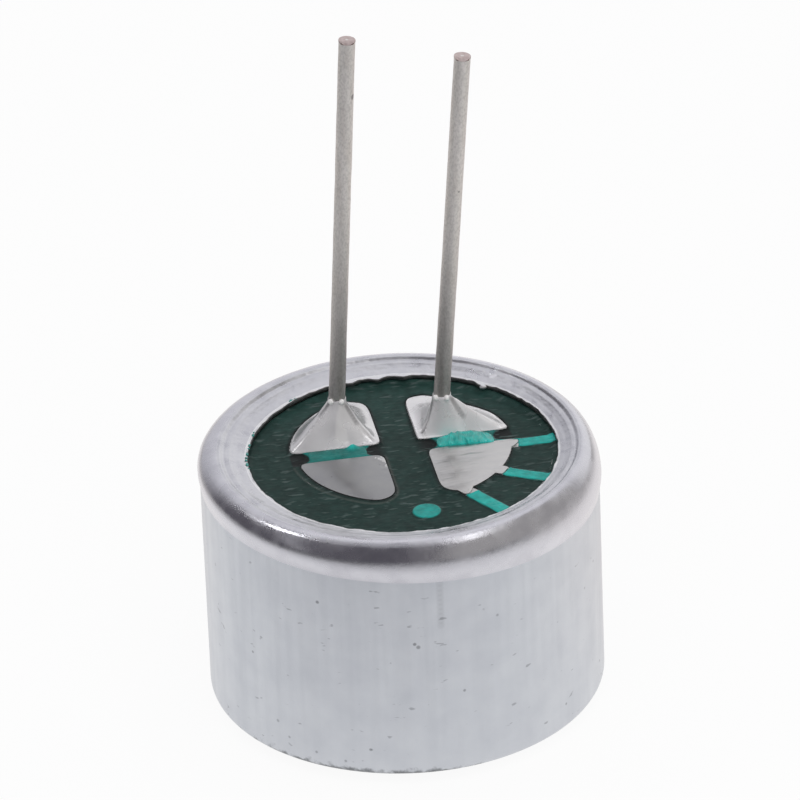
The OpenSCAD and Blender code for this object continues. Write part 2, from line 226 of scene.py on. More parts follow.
def rough(points, per_mm, seed):
    """Smooth noise between -1 and 1 at an array of points."""
    shift = Vector((seed * 13.7, seed * 5.1, seed * 9.3))
    flat = points.reshape(-1, 3)
    values = [noise.noise(Vector(p) * per_mm + shift) for p in flat]
    return np.array(values).reshape(points.shape[:-1])


def layered(points, *layers):
    """Sum of noises, each given by its depth, its grain per millimetre and its seed."""
    return sum(depth * rough(points, per_mm, seed) for depth, per_mm, seed in layers)


def line(start, end, count):
    """Points from a start up to, but without, an end."""
    share = np.arange(count)[:, None] / count
    return np.array(start) + (np.array(end) - np.array(start)) * share


def arc(centre, radius, start, end, count):
    turn = np.radians(start + (end - start) * np.arange(count) / count)
    return np.array(centre) + radius * np.stack([np.cos(turn), np.sin(turn)], axis=1)


def bent_line(corners, counts):
    """Points along a line with corners, up to but without its end."""
    return np.concatenate([line(*piece) for piece in zip(corners, corners[1:], counts)])


def around(a, radius, z, middle=(0, 0)):
    """Points round a middle, at angles, radii and heights."""
    x = middle[0] + radius * np.cos(a)
    y = middle[1] + radius * np.sin(a)
    return np.stack(np.broadcast_arrays(x, y, z), axis=-1)


def turned(profile, sides):
    """Rows of points that a profile of radii and heights makes when it is turned round the case's axis."""
    return around(angles(sides), profile[:, :1], profile[:, 1:])


def skin(rows, closed=False, low_tip=None, high_tip=None):
    """Points and faces over rows of points. Tips are points that close the first and the last row."""
    count, sides = rows.shape[:2]
    points = [tuple(p) for p in rows.reshape(-1, 3)]
    faces = []
    for i in range(count if closed else count - 1):
        low = i * sides
        high = (i + 1) % count * sides
        for j in range(sides):
            k = (j + 1) % sides
            faces.append((low + j, low + k, high + k, high + j))
    if low_tip is not None:
        points.append(tuple(low_tip))
        faces += [((j + 1) % sides, j, len(points) - 1) for j in range(sides)]
    if high_tip is not None:
        points.append(tuple(high_tip))
        last = (count - 1) * sides
        faces += [(last + j, last + (j + 1) % sides, len(points) - 1) for j in range(sides)]
    return points, faces


def capped(rows):
    """A skin over rows that is closed at the middles of its first and last row."""
    return skin(rows, low_tip=rows[0].mean(axis=0), high_tip=rows[-1].mean(axis=0))


def join_skins(points, faces, all_rows):
    """Points and faces with those of some capped skins added."""
    points, faces = list(points), list(faces)
    for rows in all_rows:
        new_points, new_faces = capped(rows)
        faces += [tuple(k + len(points) for k in face) for face in new_faces]
        points += new_points
    return points, faces


def add_object(name, data):
    made = bpy.data.objects.new(name, data)
    bpy.context.scene.collection.objects.link(made)
    return made


def add_piece(name, points, faces, materials, replaced=()):
    mesh = bpy.data.meshes.new(name)
    mesh.from_pydata([Vector(p) * MM for p in points], [], faces)
    for material in materials:
        mesh.materials.append(material)
    mesh.shade_smooth()
    piece = add_object(name, mesh)
    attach(piece, "root")
    if replaced:
        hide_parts(*replaced)
    return piece


# Shader nodes

# Noise values between which colours, roughness and shades run
GRAIN_LOW, GRAIN_HIGH = 0.3, 0.7


def new_material(name, metallic=0.0):
    material = bpy.data.materials.new(name)
    material.use_nodes = True
    shader = material.node_tree.nodes["Principled BSDF"]
    shader.inputs["Metallic"].default_value = metallic
    return material, material.node_tree, shader


def node(tree, kind, **settings):
    made = tree.nodes.new(kind)
    for key, value in settings.items():
        setattr(made, key, value)
    return made


def axes_of(tree, space="Object"):
    """The sockets of a point's three coordinates."""
    coords = node(tree, "ShaderNodeTexCoord")
    parts = node(tree, "ShaderNodeSeparateXYZ")
    tree.links.new(coords.outputs[space], parts.inputs["Vector"])
    return [parts.outputs[name] for name in "XYZ"]


def place(tree, per_mm, stretch=(1, 1, 1), turn=0.0):
    """Object coordinates as counts of a pattern's cells, in a frame turned about Z."""
    coords = node(tree, "ShaderNodeTexCoord")
    mapping = node(tree, "ShaderNodeMapping", vector_type="TEXTURE")
    mapping.inputs["Rotation"].default_value = (0, 0, turn)
    mapping.inputs["Scale"].default_value = [MM / (per_mm * s) for s in stretch]
    tree.links.new(coords.outputs["Object"], mapping.inputs["Vector"])
    return mapping.outputs["Vector"]


def grain(tree, per_mm, stretch=(1, 1, 1), turn=0.0, detail=3.0):
    texture = node(tree, "ShaderNodeTexNoise")
    texture.inputs["Scale"].default_value = 1.0
    texture.inputs["Detail"].default_value = detail
    tree.links.new(place(tree, per_mm, stretch, turn), texture.inputs["Vector"])
    return texture.outputs["Fac"]


def spots(tree, per_mm):
    """Distance to the nearest of scattered points."""
    texture = node(tree, "ShaderNodeTexVoronoi")
    texture.inputs["Scale"].default_value = 1.0
    tree.links.new(place(tree, per_mm), texture.inputs["Vector"])
    return texture.outputs["Distance"]


def ramp(tree, value, stops):
    """Colours along a value, from pairs of a place and a colour."""
    made = node(tree, "ShaderNodeValToRGB")
    elements = made.color_ramp.elements
    while len(elements) < len(stops):
        elements.new(0.5)
    for element, (where, colour) in zip(elements, stops):
        element.position = where
        element.color = (*colour, 1)
    tree.links.new(value, made.inputs["Fac"])
    return made.outputs["Color"]


def tinted(tree, value, dark, light):
    """Colours from dark to light along a grain."""
    return ramp(tree, value, [(GRAIN_LOW, dark), (GRAIN_HIGH, light)])


def spread(tree, value, low, high, to_low=0.0, to_high=1.0):
    made = node(tree, "ShaderNodeMapRange", interpolation_type="SMOOTHSTEP")
    for name, number in (("From Min", low), ("From Max", high), ("To Min", to_low), ("To Max", to_high)):
        made.inputs[name].default_value = number
    tree.links.new(value, made.inputs["Value"])
    return made.outputs["Result"]


def graded(tree, value, low, high):
    """Numbers from low to high along a grain."""
    return spread(tree, value, GRAIN_LOW, GRAIN_HIGH, low, high)


def blended(tree, share, first, second, kind="MIX"):
    made = node(tree, "ShaderNodeMix", data_type="RGBA", blend_type=kind)
    for source, name in ((share, "Factor_Float"), (first, "A_Color"), (second, "B_Color")):
        socket = next(s for s in made.inputs if s.identifier == name)
        if isinstance(source, bpy.types.NodeSocket):
            tree.links.new(source, socket)
        elif name == "Factor_Float":
            socket.default_value = source
        else:
            socket.default_value = (*source, 1)
    return next(s for s in made.outputs if s.identifier == "Result_Color")


def shaded(tree, colour, *shades):
    """A colour multiplied by shades."""
    for shade in shades:
        colour = blended(tree, 1.0, colour, shade, "MULTIPLY")
    return colour


def arithmetic(tree, operation, first, second=0.0):
    made = node(tree, "ShaderNodeMath", operation=operation)
    for index, source in enumerate((first, second)):
        if isinstance(source, bpy.types.NodeSocket):
            tree.links.new(source, made.inputs[index])
        else:
            made.inputs[index].default_value = source
    return made.outputs["Value"]


def total(tree, first, *others):
    for other in others:
        first = arithmetic(tree, "ADD", first, other)
    return first


def product(tree, first, *others):
    for other in others:
        first = arithmetic(tree, "MULTIPLY", first, other)
    return first


def bumped(tree, height, depth_mm, under=None):
    made = node(tree, "ShaderNodeBump")
    made.inputs["Strength"].default_value = 1.0
    made.inputs["Distance"].default_value = depth_mm * MM
    tree.links.new(height, made.inputs["Height"])
    if under is not None:
        tree.links.new(under, made.inputs["Normal"])
    return made.outputs["Normal"]


def connect(tree, shader, colour, roughness, normal):
    for name, source in (("Base Color", colour), ("Roughness", roughness), ("Normal", normal)):
        tree.links.new(source, shader.inputs[name])


def grained(name, dark, light, metallic, roughness, per_mm, depth_mm, stretch=(1, 1, 1)):
    """Material whose colour, roughness and bump follow one grain."""
    material, tree, shader = new_material(name, metallic)
    value = grain(tree, per_mm, stretch)
    colour = tinted(tree, value, dark, light)
    connect(tree, shader, colour, graded(tree, value, *roughness), bumped(tree, value, depth_mm))
    return material


def marked(tree, colour, marks):
    """A colour darkened at round marks, each given by a place in millimetres, a radius and a strength."""
    coords = node(tree, "ShaderNodeTexCoord")
    for where, radius, strength in marks:
        gap = node(tree, "ShaderNodeVectorMath", operation="DISTANCE")
        gap.inputs[1].default_value = [w * MM for w in where]
        tree.links.new(coords.outputs["Object"], gap.inputs[0])
        shade = spread(tree, gap.outputs["Value"], 0.4 * radius * MM, radius * MM, 1 - strength, 1.0)
        colour = shaded(tree, colour, shade)
    return colour


def on_wall(angle, z):
    a = math.radians(angle)
    return CASE_R * math.cos(a), CASE_R * math.sin(a), z


def foot_dirt_and_shade(tree):
    """Darkening of the wall's front edge by uneven dirt and painted shade."""
    x, _, z = axes_of(tree)
    aside = arithmetic(tree, "ABSOLUTE", total(tree, x, -FOOT_DIRT_AND_SHADE_X * MM))
    fainter_aside = spread(tree, aside, 1.6 * MM, 4.0 * MM, 0.0, 0.25 * MM)
    uneven = product(tree, grain(tree, 4.5, detail=4.0), 0.6 * MM)
    level = total(tree, z, uneven, fainter_aside)
    return spread(tree, level, (FRONT_Z + 0.34) * MM, (FRONT_Z + 0.54) * MM, 0.35, 1.0)


def wall_metal():
    """Satin drawn aluminium with mottling, draw lines, flecks, dark marks and dirt and painted shade at the
    front edge.
    """
    material, tree, shader = new_material("wall_aluminium", 1.0)
    mottle = grain(tree, 1.3, detail=5.0)
    colour = tinted(tree, mottle, (0.60, 0.62, 0.665), (0.66, 0.68, 0.72))
    pits = spread(tree, spots(tree, 1.4), 0.03, 0.07, 0.6, 1.0)
    dashes = spread(tree, grain(tree, 2.6, stretch=(1, 1, 2.4), detail=2.0), 0.69, 0.76, 1.0, 0.68)
    colour = shaded(tree, colour, pits, dashes, foot_dirt_and_shade(tree))
    marks = [(on_wall(angle, z), radius, strength) for angle, z, radius, strength in WALL_MARKS + WALL_LINE]
    draw_lines = grain(tree, 1.0, stretch=(5, 5, 0.25))
    roughness = graded(tree, draw_lines, 0.30, 0.37)
    connect(tree, shader, marked(tree, colour, marks), roughness, bumped(tree, draw_lines, 0.0006))
    return material


def crimp_metal(name, dark, light, roughness, ring_depth, grain_depth):
    """Aluminium with the rings that rolling left in it, smudged and finely grained."""
    material, tree, shader = new_material(name, 1.0)
    x, y, _ = axes_of(tree)
    radius = arithmetic(tree, "SQRT", total(tree, product(tree, x, x), product(tree, y, y)))
    rings = node(tree, "ShaderNodeTexNoise", noise_dimensions="1D")
    rings.inputs["Scale"].default_value = 14 / MM
    rings.inputs["Detail"].default_value = 2.0
    tree.links.new(radius, rings.inputs["W"])
    smudge = grain(tree, 2.2, detail=5.0)
    colour = tinted(tree, smudge, dark, light)
    normal = bumped(tree, rings.outputs["Fac"], ring_depth)
    normal = bumped(tree, grain(tree, 9.0, detail=4.0), grain_depth, under=normal)
    connect(tree, shader, colour, graded(tree, smudge, *roughness), normal)
    return material


def lacquer(name, specular, roughness, glint_share, crinkle=0.0):
    """Lacquer in the mesh's paint colours, with flecks and pale dashes of painted glints along the laminate's
    weave.
    A crinkle is the depth in millimetres of creases across it."""
    material, tree, shader = new_material(name)
    shader.inputs["Specular IOR Level"].default_value = specular
    paint = node(tree, "ShaderNodeAttribute", attribute_name="paint")
    flecks = tinted(tree, grain(tree, 4.5, detail=5.0), (0.6, 0.6, 0.6), (1.0, 1.0, 1.0))
    weave = grain(tree, 1.0, stretch=(2.6, 8.5, 1), turn=PATTERN_TURN, detail=2.5)
    # Painted highlight: pale dashes for the glints of the weave
    dashes = spread(tree, weave, 0.56, 0.72, 0.0, glint_share)
    colour = blended(tree, dashes, shaded(tree, paint.outputs["Color"], flecks), (0.085, 0.115, 0.11))
    normal = bumped(tree, weave, 0.010)
    if crinkle:
        creases = grain(tree, 1.0, stretch=(5.0, 1.6, 1), turn=PATTERN_TURN, detail=3.0)
        normal = bumped(tree, creases, crinkle, under=normal)
    connect(tree, shader, colour, graded(tree, weave, *roughness), normal)
    return material


def solder_metal(name, dark, light, metallic, roughness, marks=(), stretch=(1, 1, 1), streak_depth=0.0):
    """Satin solder with soft clouds, a fine grain and dark marks, which on the fillets are streaks of painted
    shade. A streak depth in millimetres raises the clouds."""
    material, tree, shader = new_material(name, metallic)
    cloud = grain(tree, 2.0, stretch, PATTERN_TURN, detail=2.0)
    pits = spread(tree, spots(tree, 2.6), 0.03, 0.07, 0.6, 1.0)
    colour = shaded(tree, tinted(tree, cloud, dark, light), pits)
    normal = bumped(tree, grain(tree, 8.0), 0.003)
    if streak_depth:
        normal = bumped(tree, cloud, streak_depth, under=normal)
    connect(tree, shader, marked(tree, colour, marks), graded(tree, cloud, *roughness), normal)
    return material


def wire_metal():
    """Tinned wire with long faint stains along it and a dark grit, darker towards the solder and lighter
    towards its top.
    """
    material, tree, shader = new_material("tinned_wire", 0.75)
    stain_and_burr_shade = grain(tree, 1.0, stretch=(5, 5, 0.9), detail=4.0)
    colour = ramp(tree, stain_and_burr_shade, [(GRAIN_LOW, (0.60, 0.565, 0.535)), (0.5, (0.67, 0.645, 0.62)),
                                (GRAIN_HIGH, (0.75, 0.715, 0.695))])
    pits = spread(tree, spots(tree, 1.7), 0.03, 0.06, 0.5, 1.0)
    darker_low_lighter_high = spread(tree, axes_of(tree)[2], 7.5 * MM, 14.0 * MM, 0.8, 1.22)
    grit = spread(tree, grain(tree, 22.0, stretch=(1, 1, 0.6), detail=2.0), 0.32, 0.62, 0.84, 1.0)
    colour = marked(tree, shaded(tree, colour, pits, darker_low_lighter_high, grit), [(WIRE_SPOT, 0.1, 0.55)])
    normal = bumped(tree, grain(tree, 6.0, stretch=(1, 1, 0.2)), 0.004)
    connect(tree, shader, colour, graded(tree, stain_and_burr_shade, 0.42, 0.55), normal)
    return material


# Case

def case_profile():
    """Radii and heights of the drawn cup, from under its front out, up the wall, over the crimp and inside.
    Also the numbers of rows below the shoulder and below the flange."""
    shoulder_z = CREST_Z - SHOULDER_R
    low = math.degrees(-math.acos((CASE_R - SHOULDER_X) / SHOULDER_R))
    wall_top_z = shoulder_z + SHOULDER_R * math.sin(math.radians(low))
    foot_z = FRONT_Z + FRONT_R
    wall = np.concatenate([
        line((FRONT_DISC_R, FRONT_Z), (CASE_R - FRONT_R, FRONT_Z), 3),
        arc((CASE_R - FRONT_R, foot_z), FRONT_R, -90, 0, 8),
        bent_line([(CASE_R, foot_z), (CASE_R, wall_top_z - FINE_WALL_H), (CASE_R, wall_top_z)], (30, 24)),
    ])
    shoulder = arc((SHOULDER_X, shoulder_z), SHOULDER_R, low, 90, 52)
    corners = [
        (SHOULDER_X, CREST_Z), (LIP_R + LIP_ROUND_W, LIP_TOP_Z), (LIP_R, LIP_TOP_Z - LIP_ROUND_H),
        (LIP_R, SEAT_Z + LIP_BEVEL_H), (LIP_R + LIP_BEVEL_W, SEAT_Z), (CAVITY_R, SEAT_Z),
        (CAVITY_R, FLOOR_Z), (FRONT_DISC_R, FLOOR_Z),
    ]
    inside = bent_line(corners, (FLANGE_ROWS, 3, 2, 3, 2, 3, 2))
    flange_row = len(wall) + len(shoulder)
    return np.concatenate([wall, shoulder, inside, corners[-1:]]), len(wall), flange_row


def lip_raggedness(rows, turn):
    """How far the torn edge of the lip stands outwards, with a few lumps at the back."""
    edge = rows / np.linalg.norm(rows[..., :2], axis=-1)[..., None] * LIP_R
    edge[..., 2] = 0
    return layered(edge, (0.010, 1.6, 1), (0.014, 6.0, 2), (0.010, 14.0, 7)) - humps(turn, LIP_LUMPS)


def roll_shoulder(rows, wall_rows, flange_row):
    """Moves the round shoulder to an oval whose widest line drops towards +X, with a soft bead below it, and
    the top of the wall with it."""
    height = rows[..., 2]
    radius = np.linalg.norm(rows[..., :2], axis=-1)
    rise = (height - (CREST_Z - SHOULDER_R)) / SHOULDER_R
    widest = WIDEST_Z - WIDEST_DROP * rows[..., 0]
    below = np.clip(rise / rise[wall_rows], 0, 1)
    oval = np.where(rise > 0, widest + rise * (CREST_Z - widest), widest - BEAD_H * below)
    bead = CASE_R + (SHOULDER_X + SHOULDER_R - CASE_R) * (1 + np.cos(np.pi * below)) / 2
    above = height - STILL_WALL_H
    stretched = STILL_WALL_H + above * (oval[wall_rows] - STILL_WALL_H) / above[wall_rows]
    number = np.arange(len(rows))[:, None]
    shoulder = (number >= wall_rows) & (number < flange_row)
    wall_top = (number < wall_rows) & (above > 0)
    new_radius = np.where(shoulder & (rise < 0), bead, radius)
    rolled = rows * (new_radius / radius)[..., None]
    rolled[..., 2] = np.where(shoulder, oval, np.where(wall_top, stretched, height))
    return rolled


def flange_relief(rows, turned_in):
    """Heights on the turned-in flange: rings left by rolling, dents, and a raised edge along the lip."""
    dents = layered(rows, (0.008, 1.3, 5), (0.008, 4.5, 8), (0.004, 11.0, 9))
    edge = 0.030 * hump(turned_in, 0.97, 0.035) * np.maximum(0, 0.35 + rough(rows, 5.0, 10))
    return humps(turned_in, FLANGE_RINGS) + dents * smooth_step(turned_in, 0, 0.2) + edge


def shape_case(rows, wall_rows, flange_row):
    """Adds the ripples of the wall, the rings and dents of the flange, and the torn lip round an opening that
    lies off the axis."""
    rows = roll_shoulder(rows, wall_rows, flange_row)
    radius = np.linalg.norm(rows[..., :2], axis=-1)
    outward = rows[..., :2] / radius[..., None]
    turn = np.degrees(np.arctan2(rows[..., 1], rows[..., 0]))
    height = rows[..., 2]
    number = np.arange(len(rows))[:, None]
    rippled = (number < flange_row) & (radius > CASE_R - 0.5)
    ripple = RIPPLE * (2 + rough(rows, 0.5, 3)) + FINE_RIPPLE * (1 + rough(rows, 2.2, 4))
    turned_in = np.where(number >= flange_row, np.clip((SHOULDER_X - radius) / (SHOULDER_X - LIP_R), 0, 1), 0)
    lip = hump(turned_in, 1.0, 0.10) * (height > SEAT_Z + 0.02)
    on_top = (turned_in > 0) & (height > LIP_TOP_Z - 0.03)
    radius = radius - np.where(rippled, ripple, 0)
    radius = radius + OPENING_X * outward[..., 0] * turned_in + lip * lip_raggedness(rows, turn)
    shaped = rows.copy()
    shaped[..., :2] = outward * radius[..., None]
    shaped[..., 2] += np.where(on_top, flange_relief(rows, turned_in), 0)
    return shaped


def ring_of(bm, x, y, z):
    """Corners round a sound hole."""
    r = SOUND_HOLE_R * MM
    return [bm.verts.new((x + r * math.cos(a), y + r * math.sin(a), z)) for a in angles(SOUND_HOLE_SIDES)]


def ring_edges(bm, ring):
    found = []
    for first, second in zip(ring, ring[1:] + ring[:1]):
        found.append(bm.edges.get((first, second)) or bm.edges.new((first, second)))
    return found


def fill_front(mesh):
    """Closes the cup's front with a disc of two faces that the sound holes go through."""
    bm = bmesh.new()
    bm.from_mesh(mesh)
    bm.verts.ensure_lookup_table()
    low_edges = ring_edges(bm, bm.verts[:CASE_SIDES])
    high_edges = ring_edges(bm, bm.verts[-CASE_SIDES:])
    for a in angles(SOUND_HOLES):
        x = SOUND_CIRCLE_R * math.cos(a) * MM
        y = SOUND_CIRCLE_R * math.sin(a) * MM
        low = ring_of(bm, x, y, FRONT_Z * MM)
        high = ring_of(bm, x, y, FLOOR_Z * MM)
        for i in range(-SOUND_HOLE_SIDES, 0):
            bm.faces.new((low[i], high[i], high[i + 1], low[i + 1]))
        low_edges += ring_edges(bm, low)
        high_edges += ring_edges(bm, high)
    for edges in (low_edges, high_edges):
        bmesh.ops.triangle_fill(bm, use_beauty=True, edges=edges)
    bmesh.ops.recalc_face_normals(bm, faces=bm.faces)
    bm.to_mesh(mesh)
    bm.free()


def make_case():
    profile, wall_rows, flange_row = case_profile()
    rows = shape_case(turned(profile, CASE_SIDES), wall_rows, flange_row)
    points, faces = skin(rows)
    shoulder = crimp_metal("shoulder_aluminium", (0.62, 0.615, 0.66), (0.75, 0.745, 0.79), (0.20, 0.33),
                           0.0015, 0.003)
    flange = crimp_metal("flange_aluminium", (0.58, 0.58, 0.62), (0.76, 0.76, 0.79), (0.26, 0.42),
                         0.002, 0.010)
    torn = grained("torn_aluminium", (0.80, 0.80, 0.82), (0.95, 0.95, 0.96), 1.0, (0.35, 0.5), 9.0, 0.008)
    # Painted shade: the faces inside the lip and the cup are dark aluminium that stands for the shadow there
    dull_and_shaded = grained("inner_aluminium_painted_shade", (0.12, 0.12, 0.12), (0.24, 0.24, 0.24), 1.0, (0.45, 0.6), 5.0, 0.004)
    materials = [wall_metal(), shoulder, flange, torn, dull_and_shaded]
    case = add_piece("case_shell", points, faces, materials, ["case_can"])
    lip_row = flange_row + FLANGE_ROWS
    # Rows from just inside the lip inwards take the last material, the painted shade
    starts = (wall_rows, flange_row, lip_row - 3, lip_row + 1)
    for face in case.data.polygons:
        row = face.index // CASE_SIDES
        face.material_index = sum(row >= start for start in starts)
    fill_front(case.data)
    case.data.shade_smooth()
    case.data.set_sharp_from_angle(angle=math.radians(38))
    make_burr(torn)


def make_burr(material):
    """A lump that was pushed up at the lip behind the ground lead."""
    reach = LIP_R - 0.05
    middle = (OPENING_X + reach * math.cos(BURR_TURN), reach * math.sin(BURR_TURN), LIP_TOP_Z - 0.05)
    points, faces = join_skins([], [], [ball(middle, BURR_SIZE)])
    add_piece("lip_burr", points, faces, [material])


def make_felt():
    """Felt disc with a soft edge and matted faces."""
    flat_r = FELT_R - FELT_EDGE
    high_z = FELT_T - FELT_EDGE
    profile = np.concatenate([
        line((FELT_TIP_R, 0), (flat_r, 0), 40),
        arc((flat_r, FELT_EDGE), FELT_EDGE, -90, 0, 5),
        line((FELT_R, FELT_EDGE), (FELT_R, high_z), 3),
        arc((flat_r, high_z), FELT_EDGE, 0, 90, 5),
        line((flat_r, FELT_T), (FELT_TIP_R, FELT_T), 12),
        [(FELT_TIP_R, FELT_T)],
    ])
    rows = turned(profile, FELT_SIDES)
    matted = 0.5 + 0.5 * rough(rows, 5.0, 6)
    middle = np.array([0, 0, FELT_T / 2])
    rows = rows + (middle - rows) * (matted * FELT_MATTING)[..., None] * np.array([1, 1, 6])
    points, faces = skin(rows, low_tip=(0, 0, FELT_DIMPLE), high_tip=(0, 0, FELT_T - FELT_DIMPLE))
    felt = grained("black_felt", (0.012, 0.012, 0.013), (0.045, 0.045, 0.048), 0.0, (0.85, 1.0), 16.0, 0.04)
    add_piece("felt_disc", points, faces, [felt], ["dust_felt"])


# Printed pattern

TRACK_ROOT = LAND_R - FIELD[1] - 2 * TRACK_HALF
CORNER_X = STRIP_HALF + LAND_CORNER_R
CORNER_REACH = LAND_R - LAND_CORNER_R
CORNER_Y = math.sqrt(CORNER_REACH ** 2 - CORNER_X ** 2)
CORNER_OUT = Vector((CORNER_X / CORNER_REACH - 1, CORNER_Y / CORNER_REACH)).normalized()

GREEN = np.array([0.017, 0.044, 0.038])
BLACK = np.array([0.011, 0.014, 0.014])
# Colour of the painted highlight along a land's edge
EDGE_HIGHLIGHT = np.array([0.20, 0.205, 0.19])
TEAL = np.array([0.022, 0.48, 0.425])

# Widths of the black by the necks, of the painted shade by the pads and of the painted highlight along
# a land's edge, and how much darker the dot and necks are
PAD_SHADE_WIDTH = 0.085
BLACK_BY_NECKS = 0.38
EDGE_HIGHLIGHT_WIDTH = 0.028
EDGE_HIGHLIGHT_SHARE = 0.3
DOT_DARKER = 0.24
NECK_DARKER = 0.6

# Rim of the lacquer round an opening, and its rise under the lip
RIM_H = 0.016
RIM_W = 0.03
RIM_GAP = 0.045
LIP_RISE = 0.025


def rotated(x, y, turn):
    c, s = math.cos(turn), math.sin(turn)
    return x * c - y * s, x * s + y * c


def to_pattern(x, y):
    """Points of the case's frame in the frame of the printed pattern, about the case's axis."""
    return rotated(x, y, -PATTERN_TURN)


def from_field(x, y):
    """Points about the middle of the round field, in the case's frame."""
    return rotated(x + FIELD[0], y + FIELD[1], PATTERN_TURN)


def lead_foot(side):
    x, y = rotated(0, LEAD_ROW, PATTERN_TURN)
    return x + LEAD_SHIFT + side * LEAD_PITCH / 2, y


def lead_slope(side):
    return math.tan(LEAN[side]), math.tan(BACK_LEAN)


def pad_middle(side, row):
    """A point well inside a pad, about the field: the lead's foot behind the neck, the middle before it."""
    if row > 0:
        u, v = to_pattern(*lead_foot(side))
        return u - FIELD[0], v - FIELD[1]
    return side * (STRIP_HALF + LAND_R) / 2, -(BAR_HALF + LAND_R) / 2.4


def pad_reach(middle, side, row, lap, turn):
    """Distance from a pad's middle to its edge in each direction, with the corners rounded off."""
    px, py = side * middle[0], row * middle[1]
    dx, dy = side * np.cos(turn), row * np.sin(turn)
    along = px * dx + py * dy
    drawn_in = BACK_GAP * hump(np.arctan2(py + dy, px + dx), BACK_GAP_TURN, 0.35) * (side > 0) * (row > 0)
    arc_near = 1 / (np.sqrt(along ** 2 + (LAND_R - lap) ** 2 - px ** 2 - py ** 2) - along - drawn_in)
    strip_near = np.maximum(0, -dx) / (px - STRIP_HALF - lap)
    bar_near = np.maximum(0, -dy) / (py - BAR_HALF)
    corner_gap = (CORNER_X - px) * CORNER_OUT.x + (CORNER_Y - py) * CORNER_OUT.y + LAND_CORNER_R - lap
    corner_near = np.maximum(0, dx * CORNER_OUT.x + dy * CORNER_OUT.y) / corner_gap
    near = np.stack([arc_near, strip_near, bar_near, corner_near])
    return (near ** CORNER_POWER).sum(axis=0) ** (-1 / CORNER_POWER)


def pad_gap(x, y, side, row, lap):
    """How far points about the field lie outside a pad's edge."""
    middle = pad_middle(side, row)
    dx, dy = x - middle[0], y - middle[1]
    return np.hypot(dx, dy) - pad_reach(middle, side, row, lap, np.arctan2(dy, dx))


def slot_gap(x, y, start, end):
    return np.hypot(x - np.clip(x, start, end), y) - SLOT_R


def land_gap(x, y):
    """How far points about the field lie outside the copper of the two lands."""
    across, up = np.abs(x), np.abs(y)
    in_corner = (up > CORNER_Y) & (CORNER_X * up > CORNER_Y * across)
    corner = np.where(in_corner, np.hypot(across - CORNER_X, up - CORNER_Y) - LAND_CORNER_R, -1)
    gaps = [np.hypot(x, y) - LAND_R, STRIP_HALF - across, corner,
            -slot_gap(across, y, 0, INNER_SLOT_END), -slot_gap(across, y, OUTER_SLOT_START, LAND_R + 1)]
    return np.max(gaps, axis=0)


def track_gap(x, v):
    """How far points lie outside the tracks, which spread out to the crimp."""
    gaps = []
    for turn in TRACK_ANGLES:
        along = x * math.cos(turn) + v * math.sin(turn)
        across = v * math.cos(turn) - x * math.sin(turn)
        gaps.append(np.maximum(np.abs(across) - TRACK_HALF, TRACK_ROOT - along))
    return np.min(gaps, axis=0)


def thread_gap(x, y):
    """How far points lie outside the thread of lacquer from the ground land's neck to its first track."""
    middle = THREAD_START[1] + THREAD_SLOPE * (x - THREAD_START[0])
    return np.maximum(np.abs(y - middle) - THREAD_HALF, np.abs(x - THREAD_X) - THREAD_REACH)


def opening_gap(x, y, tracks):
    """How far points lie outside the bare copper: the pads and the tinned roots of the tracks."""
    upper = [pad_gap(x, y, side, 1, SOLDER_LAP) for side in (OUTPUT, GROUND)]
    lower = [pad_gap(x - OPENING_SHIFT, y, side, -1, TINNED_LAP) for side in (OUTPUT, GROUND)]
    roots = np.maximum(tracks, np.hypot(x, y) - TINNED_ROOT_R)
    return np.maximum(np.min(upper + lower + [roots], axis=0), -thread_gap(x, y))


def mixed(first, second, share):
    return first + (second - first) * share[..., None]


def coat_paint(x, y, lands, tracks, dot, opening):
    """Colours of the lacquer and its share of teal: teal over copper, black by the necks, painted shade by
    the pads, a painted highlight along a land's edge, and painted light that lightens the board towards the
    back."""
    radius = np.hypot(x, y)
    tracks_beyond = np.maximum(tracks, TINNED_ROOT_R - radius)
    bars = np.maximum(lands, np.abs(y) - BAR_HALF)
    teal = smooth_step(-np.min([tracks_beyond, dot, thread_gap(x, y), bars], axis=0), -0.012, 0.016)
    by_bars = smooth_step(LAND_R + 0.02 - radius, 0, 0.05) * smooth_step(BLACK_BY_NECKS - np.abs(y), 0, 0.06)
    by_bars *= smooth_step(np.abs(x), 0.25, 0.65)
    # Painted shade: black along the pads' edges, where the lacquer's step down to the pad lies in shadow
    shade_by_pads = hump(np.maximum(opening, 0), 0, PAD_SHADE_WIDTH)
    # Painted highlight: a pale line along a land's lower left edge, where the lacquer's rounded shoulder
    # catches light
    edge = hump(lands, 0.0, EDGE_HIGHLIGHT_WIDTH) * smooth_step(-y, 0.3, 0.45) * smooth_step(-x, -0.2, 0.2)
    # Painted light: the board's lacquer grows lighter towards the back
    green_lit_behind = GREEN * (1 + 0.45 * smooth_step(y, 0.5, 2.5))[..., None]
    colour = mixed(green_lit_behind, BLACK, np.maximum(by_bars, shade_by_pads))
    colour = mixed(colour, EDGE_HIGHLIGHT, EDGE_HIGHLIGHT_SHARE * edge)
    darker = 1 - DOT_DARKER * smooth_step(-dot, -0.1, 0) - NECK_DARKER * smooth_step(-bars, -0.05, 0)
    return mixed(colour, TEAL * darker[..., None], teal), teal


